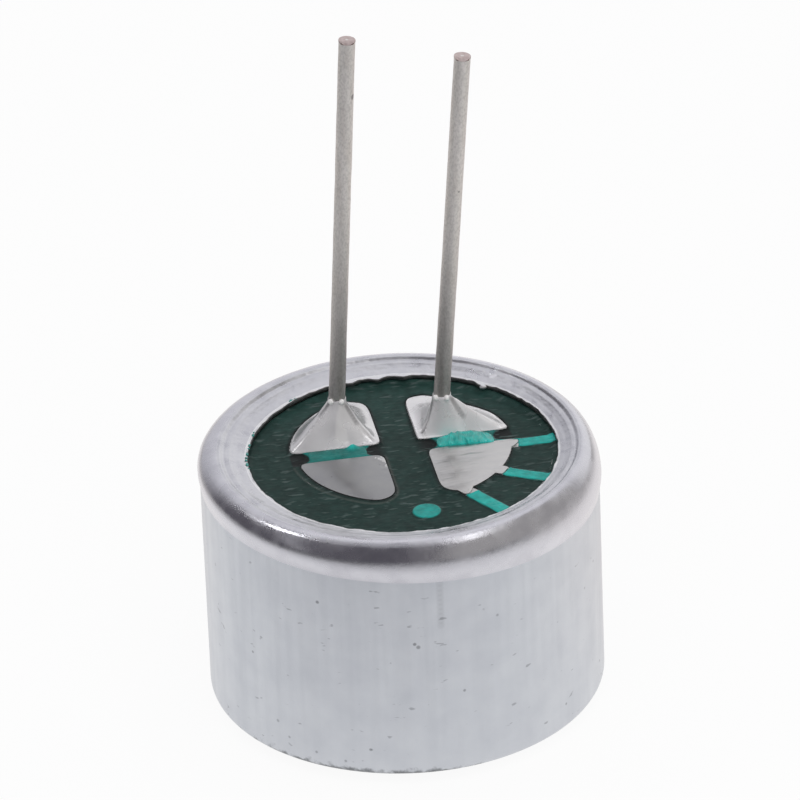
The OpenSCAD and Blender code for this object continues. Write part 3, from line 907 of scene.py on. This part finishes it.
def coat_surface(rows):
    """Heights of the lacquer over the board and its copper, its colours and its teal share."""
    u, v = to_pattern(rows[..., 0], rows[..., 1])
    x, y = u - FIELD[0], v - FIELD[1]
    tracks = track_gap(x, v)
    lands = land_gap(x, y)
    dot = np.hypot(u - DOT[0], v - DOT[1]) - DOT_R
    opening = opening_gap(x, y, tracks)
    ring = EARTH_RING_R - np.hypot(u, v)
    copper = smooth_step(-np.min([lands, tracks, dot, ring], axis=0), -0.07, 0.05)
    covered = BOARD_TOP + COAT_T + COPPER_T * copper + RIM_H * hump(opening, RIM_GAP, RIM_W)
    covered += 0.004 * rough(rows, 1.6, 14)
    from_opening = np.hypot(rows[..., 0] - OPENING_X, rows[..., 1])
    at_lip = smooth_step(from_opening, LIP_R - 0.12, LIP_R + 0.01)
    covered += (LIP_RISE + 0.015 * rough(rows, 4.0, 16)) * at_lip
    opened = smooth_step(-opening, -0.012, 0.02)
    height = covered * (1 - opened) + (BOARD_TOP + 0.004) * opened
    colour, teal = coat_paint(x, y, lands, tracks, dot, opening)
    return height, colour, teal


def set_paint(piece, colours):
    attribute = piece.data.attributes.new("paint", "FLOAT_VECTOR", "POINT")
    attribute.data.foreach_set("vector", colours.astype(np.float32).ravel())


def make_coat(dull_and_shaded, satin):
    """Lacquer coat over the whole board, with the copper showing through and openings at the pads."""
    radii = np.linspace(LIP_R + 0.04, COAT_TIP_R, COAT_RINGS)
    rows = turned(np.stack([radii, np.zeros(COAT_RINGS)], axis=1), COAT_SIDES)
    rows[..., 0] += OPENING_X
    rows[..., 2], colour, teal = coat_surface(rows)
    skirt = rows[:1].copy()
    skirt[..., 2] = BOARD_TOP
    tip = (OPENING_X, 0, rows[-1, :, 2].mean())
    points, faces = skin(np.concatenate([skirt, rows]), low_tip=(OPENING_X, 0, BOARD_TOP), high_tip=tip)
    coat = add_piece("board_coat", points, faces, [dull_and_shaded, satin])
    set_paint(coat, np.concatenate([colour[0], colour.reshape(-1, 3), [BLACK, colour[-1].mean(axis=0)]]))
    shares = np.concatenate([teal[0], teal.ravel(), [0, 0]])
    for face in coat.data.polygons:
        face.material_index = int(shares[face.vertices[0]] > 0.5)
    coat.data.set_sharp_from_angle(angle=math.radians(60))


# Thick lacquer on the lands' necks: where it starts and ends across the land, and its share of teal
NECKS = {OUTPUT: (-2.29, -0.86, 0.42), GROUND: (0.87, 2.27, 1.08)}

# Folds of the ground land's neck: height, place across the land and width
NECK_FOLDS = (
    (0.03, 1.02, 0.06), (0.06, 1.22, 0.05), (0.05, 1.38, 0.05), (0.025, 1.75, 0.12), (0.015, 2.12, 0.08),
)

# Edges of the ground land's neck: places across the land, and how far back the edge lies there
NECK_BACK = ((0.88, 1.25, 1.75, 2.0, 2.26), (0.16, 0.30, 0.30, 0.24, 0.05))
NECK_FRONT = ((0.88, 1.6, 2.26), (-0.25, -0.29, -0.35))


def bar_edges(side, x):
    """Front edge, back edge and height of the thick lacquer on a land's neck."""
    wave = 0.014 * rough(np.stack([x, 0 * x, 0 * x + side], axis=-1), 3.0, 11)
    if side == OUTPUT:
        return -0.255 + wave, 0.24 + 0.07 * hump(x, BAR_BEAD[0], BAR_BEAD_R) - wave, 0.045
    front, back = np.interp(x, *NECK_FRONT), np.interp(x, *NECK_BACK)
    return front + wave, back - wave, 0.055 + 0.075 * hump(x, 1.62, 0.42)


def bar_rows(side, start, end, count=150, sides=64):
    """Rings across a neck's lacquer, from its start to its end. The ground land's is crinkled."""
    share = np.linspace(0.002, 0.998, count)[:, None]
    a = angles(sides)[None, :]
    x = start + (end - start) * share
    front, back, height = bar_edges(side, x)
    rounded = (1 - np.abs(2 * share - 1) ** 24) ** 0.5
    y = (front + back) / 2 + (back - front) / 2 * rounded * np.sign(np.cos(a)) * np.abs(np.cos(a)) ** 0.7
    x = np.broadcast_to(x, y.shape)
    up = np.maximum(np.sin(a), 0) ** 0.6 * rounded
    z = height * up - 0.02 * np.maximum(-np.sin(a), 0)
    flat = np.stack([x, y * 0.3, 0 * x], axis=2)
    if side == GROUND:
        lean = x - 0.25 * y
        folds = humps(lean, NECK_FOLDS) + 0.015 * rough(flat, 3.0, 13)
    else:
        from_bead = np.hypot(x - BAR_BEAD[0], y - BAR_BEAD[1])
        folds = 0.006 * rough(flat, 4.0, 15) + 0.10 * hump(from_bead, 0, BAR_BEAD_R)
    z = z + folds * up
    px, py = from_field(x, y)
    return np.stack([px, py, SEAT_Z + z], axis=2)


def make_bars(materials):
    """Thick teal lacquer on the necks between the pads of each land, with a painted highlight of brighter
    teal round the output neck's bead.
    """
    for side, name in SIDE_NAMES.items():
        start, end, share = NECKS[side]
        points, faces = capped(bar_rows(side, start, end))
        bar = add_piece(name + "_neck_lacquer", points, faces, [materials[side]])
        bead = Vector((*from_field(*BAR_BEAD), SEAT_Z + 0.1))
        from_bead = np.array([(Vector(p) - bead).length for p in points])
        # Painted highlight: the teal is brighter round the bead
        shares = share + (1.2 - share) * hump(from_bead, 0, 1.2 * BAR_BEAD_R)
        set_paint(bar, mixed(np.tile(BLACK, (len(points), 1)), TEAL, shares))


# Where the smears lie round the axis, in degrees
SMEAR_TURNS = (132, 134, 161, 163, 170.5, 173, 177, 180, 182, 185, 188)


def smear_rows(turn, half_length, seed, sides=9, count=7):
    """Rings along a thin smear that lies on the lip's top edge."""
    share = np.linspace(-0.95, 0.95, count)[:, None]
    a = angles(sides)[None, :]
    along = turn + half_length / LIP_R * share
    spot = np.stack(np.broadcast_arrays(40 * along, a, float(seed)), axis=2)
    thick = 0.02 * np.sqrt(1 - share ** 2) * (1 + 0.5 * rough(spot, 1.0, seed))
    out = 0.035 + 0.02 * math.sin(seed) + thick * np.cos(a) * 1.6
    radius = LIP_R + OPENING_X * np.cos(along) + out
    height = LIP_TOP_Z + 0.29 * out + thick * np.sin(a) * 0.6
    return around(along, radius, height)


def make_smears():
    """Thin smears of lacquer that the crimping dragged up on the lip at the output side."""
    smears = []
    for seed, degrees in enumerate(SMEAR_TURNS):
        half_length = 0.05 + 0.03 * math.sin(2.3 * seed)
        smears.append(smear_rows(math.radians(degrees), half_length, seed))
    points, faces = join_skins([], [], smears)
    teal = grained("lacquer_smears", (0.03, 0.16, 0.14), (0.05, 0.36, 0.32), 0.0, (0.25, 0.4), 14.0, 0.004)
    add_piece("lacquer_smears", points, faces, [teal])


# Solder and leads

def solder_rows(side, sides=240, rings=52):
    """Rings of a fillet from the pad's outline up to the leaning lead, hollowest towards one heading."""
    foot = lead_foot(side)
    slope = lead_slope(side)
    a = angles(sides)
    reach = pad_reach(pad_middle(side, 1), side, 1, SOLDER_LAP, a - PATTERN_TURN)
    hollow = LEAST_HOLLOW + (MOST_HOLLOW[side] - LEAST_HOLLOW) * (1 + np.cos(a - HOLLOW_HEADING[side])) / 2
    rows = []

    def ring(radius, z):
        rows.append(around(a, radius, SEAT_Z + z, (foot[0] + slope[0] * z, foot[1] + slope[1] * z)))

    ring(reach, 0.0)
    ring(reach - FOOT_STEP, 0.6 * SOLDER_EDGE)
    reach = reach - FOOT_ROUND
    for k in range(rings + 1):
        share = (1 - k / rings) ** 1.5
        z = SOLDER_EDGE + (SOLDER_H - SOLDER_EDGE) * (1 - share) ** hollow
        pinched = share * (1 - PINCH * math.exp(-share / PINCH_REACH))
        ring(SOLDER_TOP_R + (reach - SOLDER_TOP_R) * pinched, z)
    ring(SOLDER_TOP_R - COLLAR_TAPER, SOLDER_H + SOLDER_COLLAR)
    ring(SOLDER_BORE_R, SOLDER_H + SOLDER_COLLAR + COLLAR_ROUND)
    ring(SOLDER_BORE_R, 0.0)
    return np.array(rows)


CREASE_HEADING = 204

# Ridges and creases up the fillets: heading in degrees, height and half width in degrees
SOLDER_RIDGES = {
    OUTPUT: ((-16, 0.050, 11), (6, -0.030, 9), (-62, -0.015, 9), (-95, 0.015, 9)),
    GROUND: ((4, 0.045, 11), (-22, -0.030, 10), (CREASE_HEADING, -0.16, 9), (228, 0.030, 9)),
}

# Streaks of painted shade down the fillets, dark reflections painted into the solder: heading in degrees,
# and the rings between which a streak runs
SHADE_STREAKS = {
    OUTPUT: ((-32, 26, 50), (-150, 34, 50)),
    GROUND: ((CREASE_HEADING, 14, 48), (-13, 22, 50)),
}
STREAK_R = 0.1
STREAK_SHADE = 0.26
STREAK_STEP = 3
BEAD_HEADINGS = (-132, -60)


def off_by(heading, degrees):
    """Differences of headings from an angle, in degrees from -180 to 180."""
    return (np.degrees(heading) - degrees + 180) % 360 - 180


def shape_solder(rows, side):
    """Adds ridges and creases up the slope and lumps at the foot."""
    height = rows[..., 2] - SEAT_Z
    foot = np.array(lead_foot(side))
    slope = np.array(lead_slope(side))
    arm = rows[..., :2] - foot - slope * height[..., None]
    radius = np.linalg.norm(arm, axis=-1)
    heading = np.arctan2(arm[..., 1], arm[..., 0])
    on_slope = (radius > SOLDER_BORE_R + 0.01) & (height > 0.002)
    fade = smooth_step(radius, 0.22, 0.42) * smooth_step(height, 0.03, 0.16)
    ridges = sum(rise * hump(off_by(heading, turn), 0, width) for turn, rise, width in SOLDER_RIDGES[side])
    streaks = np.stack([np.cos(heading), np.sin(heading), 0.4 * height], axis=-1)
    ridges = fade * (ridges + 0.012 * rough(streaks, 3.0, 20 + side))
    lumps = 0.010 * smooth_step(radius, 0.3, 0.6) * (height > 0.02) * rough(rows, 3.0, 23 + side)
    shaped = rows.copy()
    lowest = SEAT_Z + np.minimum(height, SOLDER_EDGE)
    shaped[..., 2] = np.maximum(shaped[..., 2] + np.where(on_slope, ridges + lumps, 0), lowest)
    return shaped


def shade_streak_marks(side):
    """Marks for a fillet's material that paint its streaks of shade."""
    rows = shape_solder(solder_rows(side), side)
    marks = []
    for heading, first, last in SHADE_STREAKS[side]:
        column = round(heading / 360 * rows.shape[1]) % rows.shape[1]
        marks += [(rows[ring, column], STREAK_R, STREAK_SHADE) for ring in range(first, last, STREAK_STEP)]
    return marks


def ball(middle, size, sides=20, rings=12):
    """Rings of a ball that is given by its middle and its half axes."""
    a = angles(sides)
    up = np.radians(np.linspace(-84, 84, rings))[:, None]
    x = size[0] * np.cos(up) * np.cos(a)
    y = size[1] * np.cos(up) * np.sin(a)
    z = np.broadcast_to(size[2] * np.sin(up), x.shape)
    return np.stack([x, y, z], axis=2) + np.array(middle)


def solder_beads(side):
    """Two beads of solder that stand at the lead where the fillet ends."""
    z = SOLDER_H + 0.05
    axis = np.array(lead_foot(side)) + np.array(lead_slope(side)) * z
    balls = []
    for degrees in BEAD_HEADINGS:
        turn = math.radians(degrees)
        out = LEAD_R + 0.02
        middle = (axis[0] + out * math.cos(turn), axis[1] + out * math.sin(turn), SEAT_Z + z)
        balls.append(ball(middle, SOLDER_BEAD))
    return balls


def make_solder(materials, bead_highlight):
    for side, name in SIDE_NAMES.items():
        points, faces = skin(shape_solder(solder_rows(side), side), closed=True)
        slope_faces = len(faces)
        points, faces = join_skins(points, faces, solder_beads(side))
        piece = add_piece(name + "_fillet", points, faces, [materials[side], bead_highlight],
                          [name + "_solder"])
        for face in piece.data.polygons:
            face.material_index = int(face.index >= slope_faces)
        piece.data.set_sharp_from_angle(angle=math.radians(50))


def torn_patch(x, y):
    """Share of the torn patch at the output pad's inner edge, widest at the neck."""
    width = 0.10 + 0.16 * smooth_step(y, -0.75, -0.45)
    return hump(np.maximum(0, -STRIP_HALF - 0.1 - x), 0, width) * smooth_step(y, -1.35, -0.6)


def tin_relief(side, x, y, points):
    """Unevenness of a pad's tin: a torn patch on the output pad, a fold and a low strip on the ground pad."""
    relief = layered(points, (0.008, 0.9, 30 + side), (0.002, 4.0, 31 + side))
    if side == OUTPUT:
        return relief + 0.03 * torn_patch(x, y) * rough(points, 7.0, 35)
    strip = 1 - smooth_step(x, 0.72, 1.1)
    fold = hump(x, 1.02 - 0.04 * (y + 1.2), 0.03) * hump(y, -1.25, 0.25)
    return relief - 0.012 * strip + 0.008 * fold


def tin_reach(side, turn):
    """Distance from a front pad's middle to its tin's edge, which on the ground pad runs into the tracks."""
    middle = pad_middle(side, -1)
    reach = pad_reach(middle, side, -1, TINNED_LAP, turn)
    if side == OUTPUT:
        return reach
    far = np.linspace(0, 2.4, 481)[:, None]
    x = middle[0] + OPENING_SHIFT + far * np.cos(turn)
    y = middle[1] + far * np.sin(turn)
    roots = np.maximum(track_gap(x, y + FIELD[1]), np.hypot(x, y) - TINNED_ROOT_R)
    inside = (np.minimum(far - reach, np.maximum(roots, -thread_gap(x, y))) < 0).cumprod(axis=0)
    wide = far[inside.sum(axis=0) - 1, 0]
    smooth = np.mean([np.roll(wide, k) for k in range(-3, 4)], axis=0)
    return np.minimum(np.maximum(smooth, reach), np.maximum(wide, reach))


def tin_rows(side, sides=480, rings=34):
    """Rings of the low dome of tin on a pad before the neck, from its outline in to its top."""
    a = angles(sides)
    middle = pad_middle(side, -1)
    reach = tin_reach(side, a)
    inner_reach = pad_reach(middle, side, -1, TINNED_LAP, a)
    rows = []
    for share in [1.0] + [1 - k / rings for k in range(rings)]:
        z = SOLDER_EDGE + (TINNING_H - 0.01 - SOLDER_EDGE) * (1 - share ** 2.6) if rows else 0
        far = inner_reach * share + (reach - inner_reach) * smooth_step(share, 0.75, 1.0)
        x = middle[0] + OPENING_SHIFT + far * np.cos(a)
        y = middle[1] + far * np.sin(a)
        px, py = from_field(x, y)
        row = np.stack([px, py, np.full(sides, SEAT_Z + z)], axis=1)
        row[:, 2] += smooth_step(z, 0.0, 0.05) * tin_relief(side, x, y, row)
        rows.append(row)
    return np.array(rows)


def mark_patch(mesh):
    """Gives the faces of the torn patch the mesh's second material."""
    for face in mesh.polygons:
        u, v = to_pattern(face.center.x / MM, face.center.y / MM)
        flake = noise.noise(face.center / MM * 9.0)
        share = torn_patch(u - FIELD[0] - OPENING_SHIFT, v - FIELD[1])
        face.material_index = int(share * (0.75 + flake) > 0.42)


def make_tinning(materials):
    for side, name in SIDE_NAMES.items():
        rows = tin_rows(side)
        points, faces = skin(rows, high_tip=rows[-1].mean(axis=0))
        piece = add_piece(name + "_pad_tin", points, faces, materials[side], [name + "_tinning"])
        if side == OUTPUT:
            mark_patch(piece.data)
        piece.data.set_sharp_from_angle(angle=math.radians(50))


def lead_rows(side):
    """Rings along a lead in its own frame, ending in a pinched cut whose front half slopes down."""
    slope = lead_slope(side)
    run = math.sqrt(slope[0] ** 2 + slope[1] ** 2 + 1)
    start = LEAD_R * math.sin(math.acos(1 / run))
    end = LEAD_H[side] * run
    a = angles(LEAD_SIDES)
    stations = [*np.linspace(start, end - CUT_REACH, LEAD_RINGS), *(end - step for step in CUT_STEPS)]
    rings = [(LEAD_R + CUT_BURR * smooth_step(s, end - 0.09, end - 0.02), s) for s in stations]
    wall_rows = len(rings)
    rings += [(LEAD_R * share, end) for share in CUT_SHARES]
    rows = np.array([around(a, r, z) for r, z in rings])
    near_end = smooth_step(rows[..., 2], end - 0.06, end - 0.01)
    rows[..., 2] -= near_end * CUT_SLOPE * np.maximum(0, CUT_START_Y - rows[..., 1])
    wobble = layered(rows, (0.005, 1.4, 40 + side), (0.0025, 5.0, 43 + side)) - 0.004
    rows[:wall_rows, :, :2] *= (1 + wobble[:wall_rows] / LEAD_R)[..., None]
    return rows, wall_rows, end


def lead_matrix(side):
    slope = lead_slope(side)
    tilt = math.atan(math.hypot(*slope))
    heading = math.atan2(slope[1], slope[0])
    foot = lead_foot(side)
    towards = Matrix.Rotation(heading, 4, "Z")
    turn = towards @ Matrix.Rotation(tilt, 4, "Y") @ towards.inverted()
    return Matrix.Translation((foot[0], foot[1], SEAT_Z)) @ turn


def make_leads():
    wire = wire_metal()
    cut = grained("cut_copper", (0.52, 0.41, 0.39), (0.72, 0.62, 0.60), 1.0, (0.3, 0.45), 9.0, 0.01)
    # Painted shade under the cut's burr, in dark brown
    stain_and_burr_shade = grained("cut_edge_burr_shade", (0.10, 0.055, 0.045), (0.22, 0.13, 0.11), 1.0, (0.4, 0.55), 9.0, 0.01)
    for side, name in SIDE_NAMES.items():
        rows, wall_rows, end = lead_rows(side)
        points, faces = skin(rows, low_tip=(0, 0, rows[0, 0, 2]), high_tip=(0, 0, end - 0.004))
        matrix = lead_matrix(side)
        points = [matrix @ Vector(p) for p in points]
        lead = add_piece(name + "_wire", points, faces, [wire, cut, stain_and_burr_shade], [name + "_lead"])
        for face in lead.data.polygons:
            row, column = divmod(face.index, LEAD_SIDES)
            # Front faces just below the cut take the painted shade of the burr's shadow
            at_front = abs(column / LEAD_SIDES - FRONT_SHARE) < BURR_SHADE_SHARE
            if row >= wall_rows - 1 and len(face.vertices) == 4:
                face.material_index = 2 if row < wall_rows + 1 and at_front else 1
        lead.data.set_sharp_from_angle(angle=math.radians(40))


# CAD nodes that are shown as they are, and what makes their material: name, dark and light colour, metalness,
# roughness, grain per millimetre, depth and stretch
NODE_LOOKS = {
    ("diaphragm_ring", "back_plate", "gate_ring"):
        ("brass", (0.52, 0.37, 0.14), (0.66, 0.49, 0.20), 1.0, (0.25, 0.4), 4.0, 0.004, (1, 1, 6)),
    ("inner_copper", "board_plugs", "index_dot"):
        ("copper", (0.52, 0.24, 0.12), (0.68, 0.34, 0.19), 1.0, (0.25, 0.4), 5.0, 0.004),
    ("transistor_legs",): ("leg_tin", (0.50, 0.50, 0.48), (0.64, 0.64, 0.62), 1.0, (0.28, 0.42), 6.0, 0.004),
    ("circuit_board",): ("laminate", (0.02, 0.05, 0.04), (0.04, 0.08, 0.06), 0.0, (0.4, 0.6), 6.0, 0.006),
    ("diaphragm_film",): ("film", (0.62, 0.62, 0.66), (0.75, 0.75, 0.78), 0.8, (0.15, 0.3), 2.0, 0.002),
    ("spacer_ring",): ("amber_film", (0.45, 0.26, 0.07), (0.60, 0.38, 0.12), 0.0, (0.3, 0.4), 4.0, 0.003),
    ("electret_foil",): ("foil", (0.72, 0.72, 0.68), (0.82, 0.82, 0.78), 0.0, (0.2, 0.35), 3.0, 0.002),
    ("plate_holder",): ("moulded", (0.74, 0.71, 0.63), (0.83, 0.80, 0.72), 0.0, (0.45, 0.6), 8.0, 0.006),
    ("transistor_body",): ("epoxy", (0.014, 0.014, 0.016), (0.03, 0.03, 0.034), 0.0, (0.5, 0.7), 14.0, 0.01),
}


def dress(names, material):
    for name in names:
        slots = frame["nodes"][name].data.materials
        slots.clear()
        slots.append(material)


def dress_nodes(land_material):
    dress(("output_land", "ground_land"), land_material)
    for names, look in NODE_LOOKS.items():
        dress(names, grained(*look))


# Camera, light and floor

AIM = Vector((0.08125, 1.93926, 6.84392)) * MM
ELEVATION = math.radians(29.926)
ROLL = math.radians(-2.3215)
DISTANCE = 200 * MM
LENS = 367.27
SENSOR = 36.0

# Point that the lamps face
LIT = Vector((0, 0, 5)) * MM

# Colours of the room from the camera's side to behind the object, how they run to the right and to behind,
# and its tones to the right, at the top and high behind. The paper's glow in metal has its own colours
ROOM = [
    (0.46, (0.12, 0.115, 0.13)), (0.55, (0.24, 0.235, 0.25)), (0.70, (0.56, 0.56, 0.59)),
    (0.87, (0.74, 0.74, 0.77)), (0.94, (0.93, 0.93, 0.94)), (1.0, (0.95, 0.95, 0.95)),
]
ROOM_SLANT = (0.265, 0.425)
RIGHT_TONE = (0.42, 0.41, 0.40)
TOP_TONE = (0.45, 0.45, 0.47)
ABOVE_TONE = (0.92, 0.92, 0.95)
PAPER_SWEEP = [
    (0.0, (0.22, 0.22, 0.23)), (0.43, (0.42, 0.42, 0.43)), (0.61, (0.72, 0.72, 0.73)),
    (0.69, (0.80, 0.80, 0.81)), (0.8, (0.91, 0.91, 0.91)), (0.87, (0.98, 0.97, 0.96)),
    (0.96, (1.0, 0.97, 0.95)),
]

# Length of the glow's run, its part before the case's axis, and its slant to the right
SWEEP_LENGTH = 70 * MM
SWEEP_BEFORE = 60 * MM
SWEEP_SLANT = 0.35
PAPER_HALF = 1.5
PAPER_Z = -0.02 * MM
PAPER_GLOW = 0.93


def aimed(location, target, offset=0.0):
    """Placement at a location that looks at a target, turned about its own line of sight."""
    look = (target - location).to_track_quat("-Z", "Y").to_matrix().to_4x4()
    return Matrix.Translation(location) @ look @ Matrix.Rotation(offset, 4, "Z")


def set_camera():
    data = bpy.data.cameras.new("camera")
    data.sensor_width = SENSOR
    data.lens = LENS
    data.clip_start = 0.01
    data.clip_end = 20.0
    camera = add_object("camera", data)
    back = Vector((0, -math.cos(ELEVATION), math.sin(ELEVATION)))
    camera.matrix_world = aimed(AIM + back * DISTANCE, AIM, ROLL)
    bpy.context.scene.camera = camera


def add_lamp(name, length, width, radiance, placement):
    """Area lamp of an even radiance."""
    lamp = bpy.data.lights.new(name, "AREA")
    lamp.shape = "RECTANGLE"
    lamp.size = length
    lamp.size_y = width
    lamp.energy = radiance * math.pi * length * width
    made = add_object(name, lamp)
    made.matrix_world = placement
    return made


def add_softbox(name, direction, distance, size, radiance):
    """Square lamp that faces the capsule."""
    location = LIT + Vector(direction).normalized() * distance
    return add_lamp(name, size, size, radiance, aimed(location, LIT))


def add_strip(name, start, end, distance, width, radiance):
    """Long lamp that spans from one direction to another as the capsule sees it."""
    first, last = Vector(start).normalized(), Vector(end).normalized()
    outward = (first + last).normalized()
    lengthwise = (last - first).normalized()
    length = 2 * distance * math.tan(first.angle(last) / 2)
    turn = Matrix((lengthwise, outward.cross(lengthwise), outward)).transposed().to_4x4()
    add_lamp(name, length, width, radiance, Matrix.Translation(LIT + outward * distance) @ turn)


def mix_shaders(tree, share, first, second, output):
    mix = node(tree, "ShaderNodeMixShader")
    for source, socket in zip((share, first, second), mix.inputs):
        tree.links.new(source, socket)
    tree.links.new(mix.outputs["Shader"], tree.nodes[output].inputs["Surface"])


def set_world():
    """White behind the object for the camera. For light, a room that is pale behind the object and to its
    right, and dark to its left and round the camera."""
    world = bpy.data.worlds.new("studio")
    bpy.context.scene.world = world
    world.use_nodes = True
    tree = world.node_tree
    studio = tree.nodes["Background"]
    x, y, z = axes_of(tree, "Generated")
    behind = total(tree, product(tree, x, ROOM_SLANT[0]), 0.5, product(tree, y, ROOM_SLANT[1]))
    room = ramp(tree, behind, ROOM)
    right = product(tree, spread(tree, x, 0.2, 0.5), spread(tree, y, 0.68, 0.38))
    room = blended(tree, right, room, RIGHT_TONE)
    room = blended(tree, spread(tree, z, 0.92, 0.99), room, TOP_TONE)
    off_side = arithmetic(tree, "ABSOLUTE", x)
    above = product(tree, spread(tree, z, 0.6, 0.85), spread(tree, y, 0.12, 0.4),
                    spread(tree, off_side, 0.5, 0.2))
    tree.links.new(blended(tree, above, room, ABOVE_TONE), studio.inputs["Color"])
    white = node(tree, "ShaderNodeBackground")
    white.inputs["Color"].default_value = (1, 1, 1, 1)
    path = node(tree, "ShaderNodeLightPath")
    to_camera = path.outputs["Is Camera Ray"]
    mix_shaders(tree, to_camera, studio.outputs["Background"], white.outputs["Background"], "World Output")


def floor_material():
    """White paper that keeps a faint shadow. Metal sees it brighter behind the object and to its right."""
    material, tree, shader = new_material("white_paper")
    shader.inputs["Roughness"].default_value = 0.9
    fibres = tinted(tree, grain(tree, 0.05), (0.84, 0.84, 0.84), (0.86, 0.86, 0.86))
    tree.links.new(fibres, shader.inputs["Base Color"])
    path = node(tree, "ShaderNodeLightPath")
    seen = arithmetic(tree, "MAXIMUM", path.outputs["Is Camera Ray"], path.outputs["Is Transmission Ray"])
    lit = arithmetic(tree, "MAXIMUM", seen, path.outputs["Is Glossy Ray"])
    x, y, _ = axes_of(tree)
    behind = total(tree, y, product(tree, x, SWEEP_SLANT))
    where = total(tree, product(tree, behind, 1 / SWEEP_LENGTH), SWEEP_BEFORE / SWEEP_LENGTH)
    sweep = ramp(tree, where, PAPER_SWEEP)
    off_side = arithmetic(tree, "ABSOLUTE", x)
    sweep = shaded(tree, sweep, spread(tree, off_side, 13 * MM, 36 * MM, 1.0, 0.5))
    glow = node(tree, "ShaderNodeEmission")
    tree.links.new(blended(tree, seen, sweep, (1, 1, 1)), glow.inputs["Color"])
    share = product(tree, lit, PAPER_GLOW)
    mix_shaders(tree, share, shader.outputs["BSDF"], glow.outputs["Emission"], "Material Output")
    return material


def add_floor():
    mesh = bpy.data.meshes.new("paper")
    signs = ((-1, -1), (1, -1), (1, 1), (-1, 1))
    mesh.from_pydata([(x * PAPER_HALF, y * PAPER_HALF, PAPER_Z) for x, y in signs], [], [(0, 1, 2, 3)])
    mesh.materials.append(floor_material())
    paper = add_object("paper", mesh)


make_case()
make_felt()
satin = lacquer("satin_lacquer", 0.2, (0.25, 0.4), 0.1)
make_coat(lacquer("dull_lacquer", 0.12, (0.4, 0.6), 0.75), satin)
make_bars({OUTPUT: satin, GROUND: lacquer("glossy_lacquer", 0.7, (0.05, 0.09), 0.0, 0.16)})
make_smears()
bright_tin = solder_metal("bright_tin", (0.60, 0.595, 0.59), (0.71, 0.70, 0.69), 1.0, (0.30, 0.44),
                          stretch=(0.5, 1.7, 1), streak_depth=0.06)
dull_tin = solder_metal("dull_tin", (0.34, 0.34, 0.35), (0.40, 0.40, 0.40), 1.0, (0.3, 0.4))
torn_tin = solder_metal("torn_tin", (0.44, 0.44, 0.44), (0.78, 0.77, 0.76), 0.9, (0.2, 0.35))
# The fillets' marks are streaks of painted shade
output_solder = solder_metal("output_solder", (0.71, 0.70, 0.71), (0.78, 0.77, 0.78), 0.5, (0.20, 0.28),
                             shade_streak_marks(OUTPUT))
ground_solder = solder_metal("ground_solder", (0.80, 0.79, 0.80), (0.88, 0.87, 0.88), 0.4, (0.24, 0.34),
                             shade_streak_marks(GROUND))
# Painted highlight: the beads are near white and barely metallic, standing for their glints
bead_highlight_solder = solder_metal("bead_highlight_solder", (0.90, 0.89, 0.88), (0.97, 0.96, 0.95), 0.2, (0.12, 0.2))
make_solder({OUTPUT: output_solder, GROUND: ground_solder}, bead_highlight_solder)
make_tinning({OUTPUT: [dull_tin, torn_tin], GROUND: [bright_tin]})
make_leads()
dress_nodes(bright_tin)

set_camera()
set_world()
add_softbox("left_softbox", (-0.51, 0.21, 0.83), 0.35, 0.055, 6.0)
add_strip("left_strip", (-0.44, 0.11, 0.89), (-0.82, -0.56, 0.10), 0.4, 0.07, 0.3)
add_strip("right_strip", (0.25, 0.17, 0.95), (0.47, -0.42, 0.78), 0.4, 0.07, 1.6)
fill = add_softbox("front_fill", (0, -0.65, 0.76), 0.5, 0.6, 1.7)
fill.visible_glossy = False
add_floor()
bpy.context.scene.view_settings.view_transform = "Standard"
